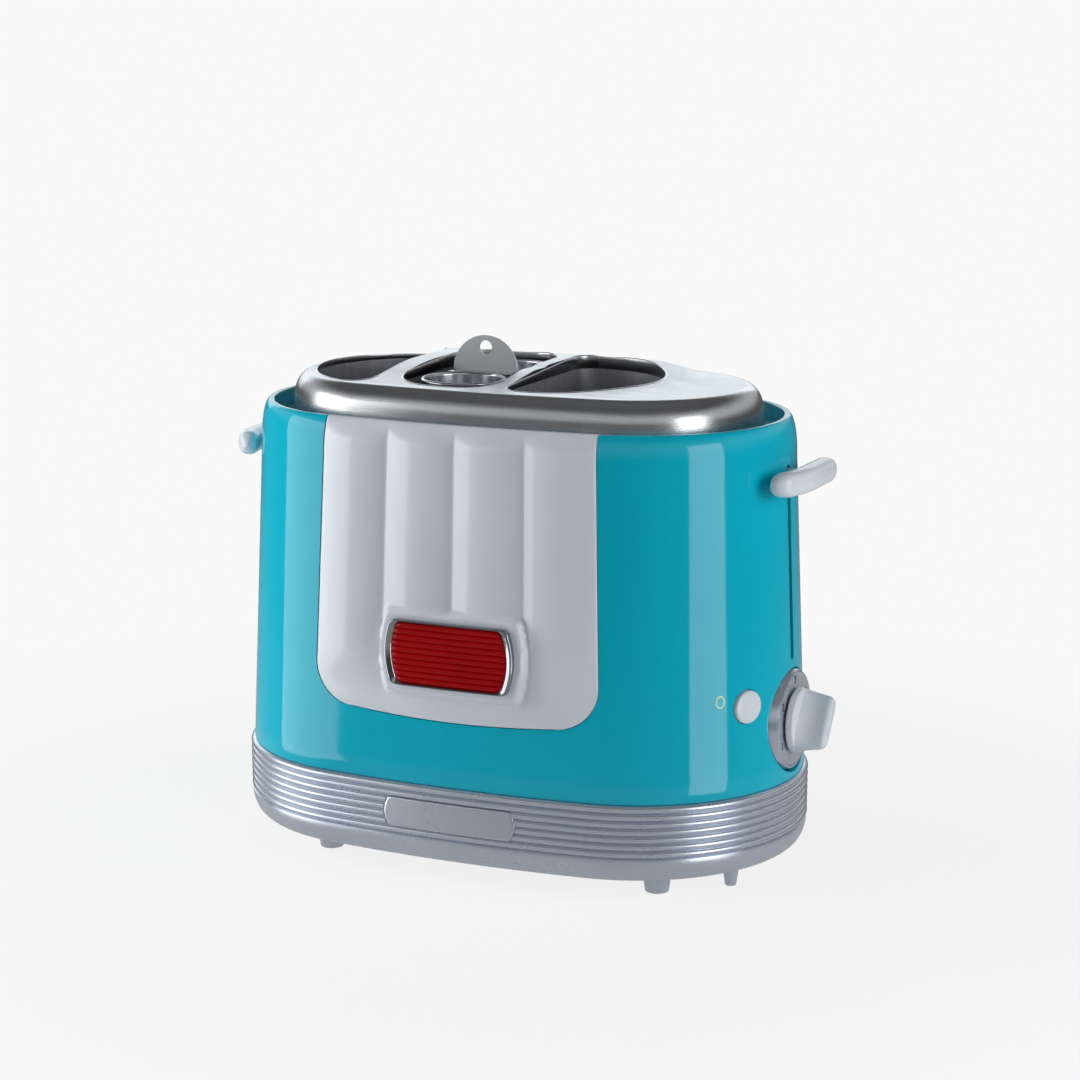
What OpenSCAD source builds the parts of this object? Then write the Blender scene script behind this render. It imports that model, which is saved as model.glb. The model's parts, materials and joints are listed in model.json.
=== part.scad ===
// Hot dog toaster: two bun wells, a lift-out sausage cage between them, a lever at each end,
// a browning dial and a stop button. X runs along the length, -Y is the front, Z is up.
// The origin is on the surface it stands on, under the centre of the shell.

/* [Shell] */
// Length of the shell at its lower edge
shell_len = 278; // [274:1:290]
// Width of the shell at its lower edge
shell_w = 170.8; // [168:0.4:180]
// Half the width less the plan radius of the ends: more of it bows the long sides more
side_bow = 3.2; // [2.6:0.2:4.4]
// Height of the shell's lower edge, where it meets the base
seam_z = 46; // [45.6:0.2:50]
// Height of the shell from the seam to the rolled rim
shell_h = 167.6; // [166:0.2:172]
// How far the walls lean in between the seam and the shoulder
wall_lean = 6.6; // [5:0.2:7]
// Height of the rounded shoulder below the rim
shoulder_h = 17.6; // [16:0.4:22]
// How far the shoulder curves in
shoulder_in = 4.4; // [3:0.2:5]
// Wall thickness of the shell
shell_wall = 2.5; // [2:0.1:2.8]

/* [Base] */
// Clearance under the base
foot_h = 8.8; // [8:0.2:11]
// How far the ribs stand out past the shell
rib_proud = 1.8; // [1.2:0.1:2.4]
// Number of ribs round the base
rib_count = 7; // [5:1:9]
// Depth of the grooves between the ribs
rib_depth = 1.6; // [0.8:0.1:2]
// Height of the smooth band under the ribs
band_h = 12.2; // [10:0.2:13]
// How far the smooth band curves in under the base
band_in = 7.5; // [5:0.5:10]
// Wall thickness of the base
base_wall = 2.6; // [2:0.1:3]
// Thickness of the base plate
plate_t = 1.5; // [1:0.1:2]
// Radius of a foot at the floor
foot_r = 5.6; // [4:0.2:6.4]

/* [Front panel] */
// Half width of the white panel at its foot
panel_half_w = 72; // [66:0.5:74]
// Height of the panel's lower edge above the seam
panel_rise = 31.5; // [26:0.5:36]
// Corner radius of the panel's lower corners
panel_corner_r = 20; // [10:1:26]
// How far the flutes swell out
flute_h = 3; // [1:0.2:4]
// Thickness of the panel
panel_t = 2.6; // [2:0.1:3]
// Width of the badge frame
badge_w = 65; // [50:1:68]
// Height of the badge frame
badge_h = 31; // [24:1:34]
// Height of the badge's centre above the panel's lower edge
badge_rise = 31.1; // [28:0.1:38]
// How far the badge stands to the right of the middle
badge_x = 1.2; // [0:0.1:4]
// Width of the plain plate let into the ribs
name_w = 67.4; // [50:1:80]

/* [Steel top] */
// Gap from the shell's inner face to the steel collar
channel_w = 8; // [7:0.2:9]
// Height of the flat top above the rim
cap_rise = 13; // [11:0.5:16]
// Sheet thickness of the steel top
sheet_t = 0.8; // [0.6:0.1:1]
// Height of the raised back wall of each opening
back_lip = 5; // [2:0.5:8]

/* [Wells] */
// Distance of the left bun well from the shell's left end
left_margin = 34; // [33:0.5:37]
// Distance of the right bun well from the shell's right end
right_margin = 71; // [69:0.5:73]
// Width of the left bun well
left_well_w = 44; // [42:0.5:45]
// Width of the sausage well
mid_well_w = 52; // [50.5:0.5:53]
// Steel strip between the left well and the sausage well
strip_a = 11; // [10.6:0.1:11.4]
// Steel strip between the sausage well and the right well
strip_b = 7; // [6:0.1:7.4]
// Distance of the wells' ends from the shell's front and back
well_margin = 38.4; // [37.9:0.1:40.4]
// Depth of the polished chutes under the top
chute_h = 33.3; // [26:0.5:36]

/* [Lift] */
// Height of the lever's middle above the dial's bezel when it is down
lever_low = 8.5; // [8.5:0.5:20]
// Depth of the lever's middle below the rim when it is up
lever_drop = 25.2; // [23.6:0.2:26.6]
// Width of a lever, front to back
lever_w = 54; // [40:1:60]
// Height of a lever
lever_h = 11.6; // [9:0.2:12]
// Depth of the bun platforms below the rim when the levers are up
platform_drop = 83.6; // [81.6:1:85.6]
// Radius of the guide rods
rod_r = 2.5; // [2:0.1:2.6]
// Running clearance between rod and slider
rod_play = 0.05; // [0.02:0.01:0.1]
// Length of a slider along its rod
slider_h = 62; // [56:1:64]

/* [Sausage cage] */
// Gap between the two tubes of the cage
tube_apart = 10; // [8:0.5:14]
// Gap between a tube and the end of the sausage well
tube_gap = 3; // [2.5:0.1:4]
// Distance of the cage's axis from the right side of the sausage well
cage_in = 22.5; // [22:0.5:26]
// Radius of the half-round lifting tab
tab_r = 17; // [12:0.5:18]

/* [Controls] */
// Height of the dial's axis
dial_z = 73.5; // [73:0.1:74.5]
// Outer radius of the dial's bezel
dial_r = 24.4; // [20:0.2:24.6]
// Length of the knob's grip
knob_len = 36; // [28:0.5:38]
// How far the knob stands out from the bezel
knob_h = 17.4; // [12:0.2:20]
// Resting angle of the knob's pointer, from straight up
knob_angle = 145; // [130:1:150]
// Radius of the dial's shaft
shaft_r = 3; // [2:0.1:3.2]
// Radius of the stop button
button_r = 7.6; // [6:0.1:8]
// Height of the stop button
button_z = 87.4; // [86:0.2:92]
// Place of the stop button round the right end, from the X axis
button_angle = 27.5; // [26:0.5:36]
// Travel of the stop button
button_travel = 2.5; // [1:0.1:2.5]

/* [Crumb tray] */
// Distance of the tray from the shell's left end
tray_left = 45; // [44:0.5:49]
// Distance of the tray from the shell's right end
tray_right = 69; // [68:0.5:73]
// Depth of the tray's pan
tray_h = 12; // [8:0.5:14]

/* [Hidden] */

teal = [0.0, 0.62, 0.68];
white = [0.93, 0.93, 0.93];
silver = [0.72, 0.74, 0.76];
steel = [0.62, 0.62, 0.63];
dark = [0.2, 0.2, 0.22];

$fn = 48;
gap = 0.3;              // seat and assembly clearance between separate pieces
seat = 0.2;             // clearance round let-in pieces
over = 1;               // overshoot of cutting solids
wire_r = 0.8;           // radius of the guard wires
end_steps = 12;         // chords on a quarter of a rounded end
side_steps = 5;         // chords on half a bowed side

half_len = shell_len / 2;
half_w = shell_w / 2;
end_r = half_w - side_bow;
end_x = half_len - end_r;
rim_z = seam_z + shell_h;
shoulder_z = rim_z - shoulder_h;
cap_z = rim_z + cap_rise;
channel_z = rim_z - 9.6;           // floor of the channel round the collar
channel_floor_t = 2.5;
lever_z = rim_z - lever_drop;      // middle of a lever when it is up
travel = lever_z - dial_z - dial_r - lever_low;
platform_z = rim_z - platform_drop;
badge_z = seam_z + panel_rise + badge_rise;
tray_x0 = tray_left - half_len;
tray_x1 = half_len - tray_right;
wells_x0 = left_margin - half_len;

// Plan of the toaster: two round ends joined by bowed sides, drawn in from the shell's lower edge
function side_radius(hl, hw, r) = (hl * hl - 2 * hl * r + hw * hw) / (2 * (hw - r));
function quarter(hl, hw, r) = let (R = side_radius(hl, hw, r), t = atan2(R - hw, hl - r)) concat(
    [for (i = [0:end_steps - 1]) let (a = t * i / end_steps) [hl - r + r * cos(a), r * sin(a)]],
    [for (i = [0:side_steps - 1]) let (a = t + (90 - t) * i / side_steps)
        [R * cos(a), hw - R + R * sin(a)]]);
function ring(inset) = let (hl = half_len - inset, hw = half_w - inset, r = end_r - inset,
    q = quarter(hl, hw, r), n = len(q)) concat(
    q, [[0, hw]], [for (i = [n - 1:-1:1]) [-q[i][0], q[i][1]]],
    [for (p = q) [-p[0], -p[1]]], [[0, -hw]], [for (i = [n - 1:-1:1]) [q[i][0], -q[i][1]]]);

// How far the shell is drawn in at height z
function shell_inset(z) = z <= shoulder_z ? wall_lean * (z - seam_z) / (shoulder_z - seam_z)
    : wall_lean + shoulder_in * (1 - sqrt(max(0, 1 - pow((z - shoulder_z) / shoulder_h, 2))));
rim_inset = shell_inset(rim_z);

// Solid through a list of levels [inset, z]
module loft(levels) {
    m = 4 * (end_steps + side_steps);
    points = [for (l = levels) for (p = ring(l[0])) [p[0], p[1], l[1]]];
    sides = [for (k = [0:len(levels) - 2]) for (i = [0:m - 1]) let (j = (i + 1) % m)
        [k * m + i, (k + 1) * m + i, (k + 1) * m + j, k * m + j]];
    top = (len(levels) - 1) * m;
    polyhedron(points = points, convexity = 6, faces = concat(
        [[for (i = [0:m - 1]) i]], sides, [[for (i = [m - 1:-1:0]) top + i]]));
}

// Upright prism of the plan between two insets, the outer one first
module plan_band(outer, inner, z0, z1) {
    translate([0, 0, z0]) linear_extrude(z1 - z0) difference() {
        polygon(ring(outer));
        polygon(ring(inner));
    }
}

// Places a drawing in the XZ plane as a prism that runs out through the front or back
module through_front() { rotate([90, 0, 0]) linear_extrude(half_w + 20) children(); }
module through_back() { translate([0, half_w + 20, 0]) through_front() children(); }

function arc(cx, cy, r, a0, a1, steps) =
    [for (i = [0:steps]) let (a = a0 + (a1 - a0) * i / steps) [cx + r * cos(a), cy + r * sin(a)]];

// Barrel outline: straight top and bottom, ends that bulge
module barrel(w, h, bulge) {
    r = (h * h / 4 + bulge * bulge) / (2 * bulge);
    intersection() {
        square([w, h], center = true);
        union() {
            translate([w / 2 - r, 0]) circle(r, $fn = 96);
            translate([r - w / 2, 0]) circle(r, $fn = 96);
            square([w - 2 * bulge, h], center = true);
        }
    }
}

// D-shaped well outline: straight side at x, bulge towards side, grown by g
well_corner = 10;
half_well = half_w - well_margin;
tube_r = (half_well - tube_gap - tube_apart / 2) / 2;
tube_pitch = 2 * tube_r + tube_apart;
function dee(x, w, side, g) = let (W = w + 2 * g, B = half_well + g, C = well_corner + g,
    u = (W * W - 2 * W * C - pow(B - C, 2)) / (2 * (W - 2 * C)), a = atan2(B - C, C - u))
    [for (p = concat(arc(u, 0, W - u, -a, a, 16), arc(C, B - C, C, a, 180, 6),
        arc(C, C - B, C, 180, 360 - a, 6))) [x + side * (p[0] - g), p[1]]];
// Round-cornered outline of the sausage well, grown by g
mid_corner_l = 24;
mid_corner_r = 18;
function box_well(x, w, g) = let (L = mid_corner_l + g, R = mid_corner_r + g, Y = half_well + g)
    concat(arc(x + w + g - R, Y - R, R, 0, 90, 8), arc(x - g + L, Y - L, L, 90, 180, 8),
    arc(x - g + L, L - Y, L, 180, 270, 8), arc(x + w + g - R, R - Y, R, 270, 360, 8));

left_straight = wells_x0 + left_well_w;
mid_x0 = left_straight + strip_a;
right_x0 = mid_x0 + mid_well_w + strip_b;
right_x1 = half_len - right_margin;
right_well_w = right_x1 - right_x0;
cage_x = mid_x0 + mid_well_w - cage_in;
function left_well(g) = dee(left_straight, left_well_w, -1, g);
function mid_well(g) = box_well(mid_x0, mid_well_w, g);
function right_well(g) = dee(right_x0, right_well_w, 1, g);

/* ---- shell and front ---- */
shell_levels = concat([[0, seam_z]],
    [for (s = [0, 0.35, 0.6, 0.8, 0.93, 1]) let (z = shoulder_z + s * shoulder_h) [shell_inset(z), z]]);
lip_w = 2;
wall_inset = wall_lean + shell_wall;
channel_inset = rim_inset + lip_w;
collar_inset = channel_inset + channel_w;
slot_w = 4;
blade_h = 6;
blade_t = 2.4;
slot_z0 = lever_z + blade_h / 2 - blade_h - travel - 1.4;
slot_z1 = lever_z + blade_h / 2 + 2.4;
dial_play = 0.3;
button_play = 0.4;
flat_r = end_r - shell_inset(button_z);    // radius of the shell's end at the button's height

module at_button() {
    translate([end_x, 0, button_z]) rotate([0, 0, -button_angle]) rotate([0, 90, 0]) children();
}

// Outline of the panel's window, drawn in from every edge by g
module panel_outline(g) {
    z0 = seam_z + panel_rise + g;
    r = panel_corner_r - g;
    w0 = panel_half_w - g;
    w1 = w0 - (rim_z - z0) * 0.028;        // the sides close in towards the rim
    polygon(concat([[-w1, rim_z + over - g * 8], [-w0, z0 + r]], arc(r - w0, z0 + r, r, 180, 270, 8),
        arc(w0 - r, z0 + r, r, 270, 360, 8), [[w1, rim_z + over - g * 8]]));
}

module body_shell() color(teal) {
    window_inset = channel_inset + seat;
    difference() {
        loft(shell_levels);
        loft([[shell_wall, seam_z - over], [shell_wall, seam_z], [wall_inset, floor_under]]);
        loft([[channel_inset, channel_z], [channel_inset, rim_z + over]]);
        translate([0, 0, seam_z]) linear_extrude(shell_h) polygon(ring(collar_inset + 2.5));
        intersection() {
            through_front() panel_outline(0);
            plan_band(-over, window_inset, seam_z, rim_z + 2 * over);
        }
        for (s = [-1, 1]) translate([s * half_len - 25, -slot_w / 2, slot_z0])
            cube([50, slot_w, slot_z1 - slot_z0]);
        translate([half_len - 20, 0, dial_z]) rotate([0, 90, 0]) cylinder(40, r = dial_r + dial_play);
        at_button() cylinder(flat_r + 20, r = button_r + button_play);
    }
}

// Depth of the front face at x for an inset, and the swelling of the flutes
function face_y(x, inset) = let (hw = half_w - inset,
    R = side_radius(half_len, half_w, end_r) - inset) R - hw - sqrt(R * R - x * x);
flutes = 4;
function ease(t) = let (c = max(0, min(1, t))) c * c * (3 - 2 * c);
function flute(x, z) = let (p = 2 * panel_half_w / flutes, t = (x + panel_half_w) / p - floor((x + panel_half_w) / p))
    flute_h * (1 - pow(2 * t - 1, 2)) * ease((z - seam_z - panel_rise - 7) / 34) * ease((rim_z - z) / 12);
panel_cols = 48;
floor_under = channel_z - channel_floor_t;
panel_rows = concat([for (k = [0:6]) let (z = seam_z + panel_rise + k * 8) [z, shell_inset(z) + panel_t]],
    [for (z = [shoulder_z - 30, shoulder_z, floor_under]) [z, shell_inset(z) + panel_t]],
    [for (z = [floor_under + 0.2, 0.5 * channel_z + 0.5 * rim_z, rim_z - 3, rim_z - 1.2, rim_z]) [z, channel_inset]]);
pad_proud = 4.4;
pad_inset = shell_inset(badge_z) - pad_proud;

module panel_slab() {
    n = panel_cols + 1;
    rows = len(panel_rows);
    span = panel_half_w + over;
    xs = [for (i = [0:panel_cols]) -span + 2 * span * i / panel_cols];
    front = [for (l = panel_rows) for (x = xs) [x, face_y(x, shell_inset(l[0]) - flute(x, l[0])), l[0]]];
    back = [for (l = panel_rows) for (x = xs) [x, face_y(x, l[1]), l[0]]];
    N = n * rows;
    polyhedron(points = concat(front, back), convexity = 8, faces = concat(
        [for (k = [0:rows - 2]) for (i = [0:n - 2]) let (a = k * n + i) each [[a, a + n, a + 1], [a + 1, a + n, a + n + 1]]],
        [for (k = [0:rows - 2]) for (i = [0:n - 2]) let (a = N + k * n + i) each [[a, a + 1, a + n], [a + 1, a + n + 1, a + n]]],
        [for (i = [0:n - 2]) each [[i, i + 1, N + i], [i + 1, N + i + 1, N + i]]],
        [for (i = [0:n - 2]) let (a = (rows - 1) * n + i) each [[a, N + a, a + 1], [a + 1, N + a, N + a + 1]]],
        [for (k = [0:rows - 2]) let (a = k * n) each [[a, N + a, a + n], [N + a, N + a + n, a + n]]],
        [for (k = [0:rows - 2]) let (a = k * n + n - 1) each [[a, a + n, N + a], [N + a, a + n, N + a + n]]]));
}

pad_w = badge_w + 9;
pad_h = badge_h + 8;
badge_t = 2.6;
badge_rim = 3.4;
badge_bulge = 3;
module front_panel() color(white) {
    intersection() {
        panel_slab();
        through_front() panel_outline(seat);
    }
    intersection() {
        through_front() translate([badge_x, badge_z]) barrel(pad_w, pad_h, badge_bulge);
        plan_band(pad_inset, pad_inset + pad_proud + 1.5, badge_z - pad_h, badge_z + pad_h);
    }
}
module badge_frame() color(steel) intersection() {
    through_front() translate([badge_x, badge_z]) difference() {
        barrel(badge_w, badge_h, badge_bulge);
        barrel(badge_w - 2 * badge_rim, badge_h - 2 * badge_rim, badge_bulge);
    }
    plan_band(pad_inset - badge_t, pad_inset, badge_z - badge_h, badge_z + badge_h);
}
module badge_lens() color([0.7, 0.02, 0.05]) intersection() {
    through_front() translate([badge_x, badge_z])
        barrel(badge_w - 2 * badge_rim - 2 * seat, badge_h - 2 * badge_rim - 2 * seat, badge_bulge);
    plan_band(pad_inset - badge_t / 2, pad_inset, badge_z - badge_h, badge_z + badge_h);
}

/* ---- base ---- */
rib_z0 = foot_h + band_h;
skirt_top = seam_z - gap;
rib_pitch = (skirt_top - rib_z0) / rib_count;
groove_inset = rib_depth - rib_proud;
band_inset = 0.4 - rib_proud;
skirt_levels = concat(
    [for (a = [0:18:72]) [band_inset + band_in * (1 - sin(a)), foot_h + (band_h - 1) * (1 - cos(a))]],
    [[band_inset, foot_h + band_h - 1], [groove_inset, rib_z0]],
    [for (k = [0:rib_count - 1]) for (f = [[0.2, 0.25], [0.5, 0], [0.8, 0.25], [1, 1]])
        [f[1] * rib_depth - rib_proud, rib_z0 + (k + f[0]) * rib_pitch]]);
inner_inset = groove_inset + base_wall;
flange_t = 2.2;
flange_inset = 36;
name_h = rib_pitch * rib_count - 2;
name_z = rib_z0 + rib_pitch * rib_count / 2;
name_floor = groove_inset + 1.2;
left_foot = [62, 28.4];            // from the shell's end and side
right_foot = [47, 30.4];
peg_in = [19, 52.4];
screw_in = [99, 25.4];
feet = [[left_foot[0] - half_len, half_w - left_foot[1]], [half_len - right_foot[0], half_w - right_foot[1]]];
peg = [half_len - peg_in[0], half_w - peg_in[1]];
screw_xy = [half_len - screw_in[0], half_w - screw_in[1]];
screw_r = 1.6;
tray_z = 24;
tray_y0 = 33.4 - half_w;
tray_y1 = half_w - 15.4;
tray_front_x0 = tray_x0 - 3.5;
tray_front_x1 = tray_x1 + 3.5;
tray_front_z0 = rib_z0 + 1.6;
tray_front_z1 = skirt_top - 3;
grommet_angle = 55;
grommet_z = 31;
grommet_r = 6;

module at_grommet() {
    translate([end_x, 0, grommet_z]) rotate([0, 0, grommet_angle]) rotate([0, 90, 0]) children();
}
module each_screw() for (x = [-1, 1]) for (y = [-1, 1]) translate([x * screw_xy[0], y * screw_xy[1], 0]) children();

module base_skirt() color(silver) {
    difference() {
        loft(skirt_levels);
        loft([[band_in + base_wall, foot_h + flange_t], [inner_inset, rib_z0 + 2], [inner_inset, seam_z + over]]);
        translate([0, 0, foot_h - over]) linear_extrude(flange_t + 3) polygon(ring(flange_inset));
        intersection() {
            through_front() translate([0, name_z]) barrel(name_w, name_h, badge_bulge);
            plan_band(-rib_proud - over, name_floor, rib_z0, seam_z);
        }
        intersection() {
            through_back() translate([tray_front_x0, tray_front_z0])
                square([tray_front_x1 - tray_front_x0, tray_front_z1 - tray_front_z0]);
            plan_band(-rib_proud - over, inner_inset + 8, rib_z0, seam_z);
        }
        each_screw() translate([0, 0, foot_h - over]) cylinder(8, r = screw_r + seat);
        at_grommet() cylinder(end_r + 20, r = grommet_r + seat);
    }
    for (p = feet) for (s = [-1, 1]) translate([p[0], s * p[1], 0])
        cylinder(foot_h + flange_t / 2, r1 = foot_r, r2 = foot_r + 1.6);
    for (s = [-1, 1]) translate([peg[0], s * peg[1], gap])
        cylinder(foot_h + flange_t / 2 - gap, r1 = foot_r / 2, r2 = foot_r / 2 + 1.4);
}

module name_plate() color(silver) intersection() {
    through_front() translate([0, name_z]) barrel(name_w - 2 * seat, name_h - 2 * seat, badge_bulge);
    plan_band(0.3 - rib_proud, name_floor - seat, rib_z0, seam_z);
}

plate_z = foot_h + flange_t + seat;
floor_z = plate_z + plate_t;               // top of the base plate
vent_w = 4;
vent_len = 60;
vent_pitch = 11;
runner_w = 2;
module base_plate() color(steel) {
    difference() {
        translate([0, 0, plate_z]) linear_extrude(plate_t) polygon(ring(16));
        each_screw() translate([0, 0, plate_z - over]) cylinder(plate_t + 2 * over, r = screw_r + seat);
        for (i = [-4:4]) translate([i * vent_pitch - vent_w / 2, -vent_len / 2, plate_z - over])
            cube([vent_w, vent_len, plate_t + 2 * over]);
    }
    for (x = [tray_x0 + runner_w, tray_x1 - 2 * runner_w]) translate([x, tray_y0 + 2, floor_z])
        cube([runner_w, tray_y1 - tray_y0 - 10, tray_z - gap - floor_z]);
}
module base_screws() color(steel) each_screw() {
    translate([0, 0, foot_h - 2]) cylinder(2 - seat / 2, r = 3.2);
    translate([0, 0, foot_h - 1]) cylinder(floor_z + 3 - foot_h, r = screw_r);
}

/* ---- steel top ---- */
collar_z0 = channel_z + gap;
cap_levels = [[collar_inset + 0.5, collar_z0], [collar_inset + 1, rim_z], [collar_inset + 2, cap_z - 7.6],
    [collar_inset + 3.5, cap_z - 4], [collar_inset + 5.3, cap_z - 1.4], [collar_inset + 7.6, cap_z]];
cap_under = cap_z - 1;
rim_t = 1;

module lip(points_out, points_in) {
    lip_y0 = -16;
    intersection() {
        translate([0, 0, cap_under]) linear_extrude(back_lip + 2) difference() {
            polygon(points_out);
            polygon(points_in);
        }
        rotate([90, 0, 90]) linear_extrude(2 * shell_len, center = true)
            polygon([[lip_y0, cap_under], [half_well + 3, cap_under],
                [half_well + 3, cap_z + back_lip], [lip_y0, cap_z]]);
    }
}
module top_cap() color(steel) {
    inner = [for (l = cap_levels) [l[0] + sheet_t, min(l[1], cap_under)]];
    difference() {
        loft(cap_levels);
        loft(concat([[inner[0][0], collar_z0 - over]], [for (i = [1:4]) inner[i]], [[inner[5][0], cap_under]]));
        translate([0, 0, cap_under - over]) linear_extrude(3) polygon(left_well(0));
        translate([0, 0, cap_under - over]) linear_extrude(3) polygon(mid_well(0));
        translate([0, 0, cap_under - over]) linear_extrude(3) polygon(right_well(0));
    }
    lip(left_well(rim_t), left_well(0));
    lip(mid_well(rim_t), mid_well(0));
    lip(right_well(rim_t), right_well(0));
}

chute_top = cap_under - gap;
chute_z0 = chute_top - chute_h;
chute_in = 0.2;
module chute(outer, inner) color(steel) translate([0, 0, chute_z0]) linear_extrude(chute_h) difference() {
    polygon(outer);
    polygon(inner);
}
module left_bun_chute() chute(left_well(chute_in + sheet_t), left_well(chute_in));
module sausage_chute() chute(mid_well(chute_in + sheet_t), mid_well(chute_in));
module right_bun_chute() chute(right_well(chute_in + sheet_t), right_well(chute_in));

/* ---- heating ---- */
guard_z0 = 42;
guard_pitch = (half_well - 17) / 2;
guard_ys = [for (i = [-2:2]) i * guard_pitch];
guard_in = 0.6;
rail_r = 1.1;
module guard_side(x) {
    rail_z0 = guard_z0 + rail_r;
    rail_z1 = chute_z0 - gap - rail_r;
    for (y = guard_ys) translate([x, y, rail_z0]) cylinder(rail_z1 - rail_z0, r = wire_r, $fn = 16);
    for (z = [rail_z0, rail_z1]) translate([x, guard_ys[0] - 2, z])
        rotate([-90, 0, 0]) cylinder(guard_ys[4] - guard_ys[0] + 4, r = rail_r, $fn = 16);
}
module guard(x0, x1) color(steel) {
    guard_side(x0 + guard_in);
    guard_side(x1 - guard_in);
}
module left_bun_guard() guard(wells_x0 + 1, left_straight);
module right_bun_guard() guard(right_x0, right_x1 - 1);

board_t = 0.8;
board_z0 = 56;
board_z1 = chute_z0 - 6;
ribbon_t = 0.3;
board_xs = [wells_x0 - 3.4, left_straight + strip_a / 2, right_x0 - strip_b / 2, right_x1 + 4];
shield_t = 0.8;
shield_y = half_w - 28.4;
board_half = [shield_y - 23, shield_y - 11, shield_y - 11, shield_y - 17];
leg_w = 1.6;
shield_x0 = tray_x0 - leg_w - 0.4;
end_t = 1;
left_end_x = wells_x0 - 7;
right_end_x = right_x1 + 8;
end_top = floor_under - 1.5;

module heater_board(k) color([0.85, 0.78, 0.6]) translate([board_xs[k] - board_t / 2, -board_half[k], board_z0])
    cube([board_t, 2 * board_half[k], board_z1 - board_z0]);
module heater_board_a() heater_board(0);
module heater_board_b() heater_board(1);
module heater_board_c() heater_board(2);
module heater_board_d() heater_board(3);
ribbons = 8;
module heater_ribbons() color([0.5, 0.45, 0.4])
    for (f = [[0, 1], [1, -1], [1, 1], [2, -1], [2, 1], [3, -1]]) for (k = [0:ribbons - 1])
        translate([board_xs[f[0]] + f[1] * (board_t + ribbon_t) / 2 - ribbon_t / 2, 5 - board_half[f[0]],
            board_z0 + 8 + k * (board_z1 - board_z0 - 19) / (ribbons - 1)])
            cube([ribbon_t, 2 * board_half[f[0]] - 10, 3]);

bar_t = 1.5;
bar_h = 6;
bar_y = shield_y - 5;
bar_z = platform_z + 4;
notch_z0 = bar_z - travel - 8;
notch_z1 = bar_z + bar_h + 6;
module end_plate(x, half, narrow) color(steel) difference() {
    translate([x - end_t / 2, -half, floor_z]) cube([end_t, 2 * half, end_top - floor_z]);
    for (s = [-1, 1]) translate([x - over, s * (half + narrow) / 2 - (half - narrow) / 2 - (s > 0 ? 0 : over), notch_z0])
        cube([2 * over, half - narrow + over, notch_z1 - notch_z0]);
}
left_half = shield_y - 21;
tab_w = 6;
tab_h = 8;
tab_ys = [-26, 20];
tab_zs = [board_z0 + 14, board_z1 - 26];
module left_end_plate() {
    color(steel) translate([left_end_x - end_t / 2, -left_half, floor_z]) cube([end_t, 2 * left_half, end_top - floor_z]);
    color(steel) for (y = tab_ys) for (z = tab_zs) translate([left_end_x + end_t / 2, y, z])
        cube([board_xs[0] - board_t / 2 - seat - left_end_x - end_t / 2, tab_w, tab_h]);
}
module right_end_plate() {
    end_plate(right_end_x, shield_y - shield_t / 2 - seat, bar_y - 3);
    pad_x = board_xs[3] + board_t / 2 + seat;
    color(steel) for (y = tab_ys) for (z = tab_zs) translate([pad_x, y, z])
        cube([right_end_x - end_t / 2 - pad_x, tab_w, tab_h]);
}
comb_h = 30;
comb_z0 = board_z1 - comb_h - 6;
module heat_shield(side, z0) color(steel) {
    x1 = right_end_x + end_t / 2;
    translate([shield_x0, side * shield_y - shield_t / 2, z0]) cube([x1 - shield_x0, shield_t, end_top - z0]);
    for (x = [shield_x0, x1 - leg_w]) translate([x, side * shield_y - shield_t / 2, floor_z])
        cube([leg_w, shield_t, z0 - floor_z]);
    for (k = [1, 2]) translate([board_xs[k] - 0.5, side * (shield_y + board_half[k]) / 2
        - (shield_y - board_half[k] - seat) / 2 + (side > 0 ? seat / 2 : -seat / 2), comb_z0])
        cube([1, shield_y - board_half[k] - seat, comb_h]);
}
shield_z0 = tray_z + tray_h + 5;
module front_heat_shield() heat_shield(-1, shield_z0);
module rear_heat_shield() heat_shield(1, shield_z0);

/* ---- lift ---- */
rod_in = 20.5;                      // a guide rod's distance from the shell's end
rod_x = half_len - rod_in;
rod_y = 24;
slider_half = 4;
slider_z0 = bar_z;
rod_z0 = 31;
bracket_t = 1.2;
bracket_x0 = rod_x - 5.5;
bracket_x1 = rod_x + 3;
web_y = rod_y + 6;
rod_top = end_top;
module mirrored_end() rotate([0, 0, 180]) children();

module rod_bracket() color(steel) {
    difference() {
        union() {
            translate([bracket_x0, web_y, floor_z]) cube([bracket_x1 - bracket_x0, bracket_t, rod_top - floor_z]);
            for (z = [rod_z0 - bracket_t, rod_top - bracket_t]) translate([bracket_x0, rod_y - 6, z])
                cube([bracket_x1 - bracket_x0, 6 + 6 + seat, bracket_t]);
            translate([bracket_x0, rod_y - 6, floor_z]) cube([bracket_x1 - bracket_x0, 6 + 6 + seat, bracket_t]);
        }
        translate([rod_x, rod_y, floor_z + 3]) cylinder(rod_top, r = rod_r + 0.02);
        translate([bracket_x0 - over, web_y - over, notch_z0]) cube([4 + over, bracket_t + 2 * over, notch_z1 - notch_z0]);
    }
}
module right_rod_bracket() rod_bracket();
module left_rod_bracket() mirrored_end() rod_bracket();
module guide_rod() color(steel) translate([rod_x, rod_y, rod_z0 - bracket_t]) cylinder(rod_top - rod_z0 + bracket_t, r = rod_r);
module right_guide_rod() guide_rod();
module left_guide_rod() mirrored_end() guide_rod();
module return_spring() color(steel) translate([rod_x, rod_y, rod_z0 + seat]) difference() {
    cylinder(slider_z0 - rod_z0 - 2 * seat, r = rod_r + 1.5);
    translate([0, 0, -over]) cylinder(slider_z0, r = rod_r + 0.6);
}
module right_return_spring() return_spring();
module left_return_spring() mirrored_end() return_spring();

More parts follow.
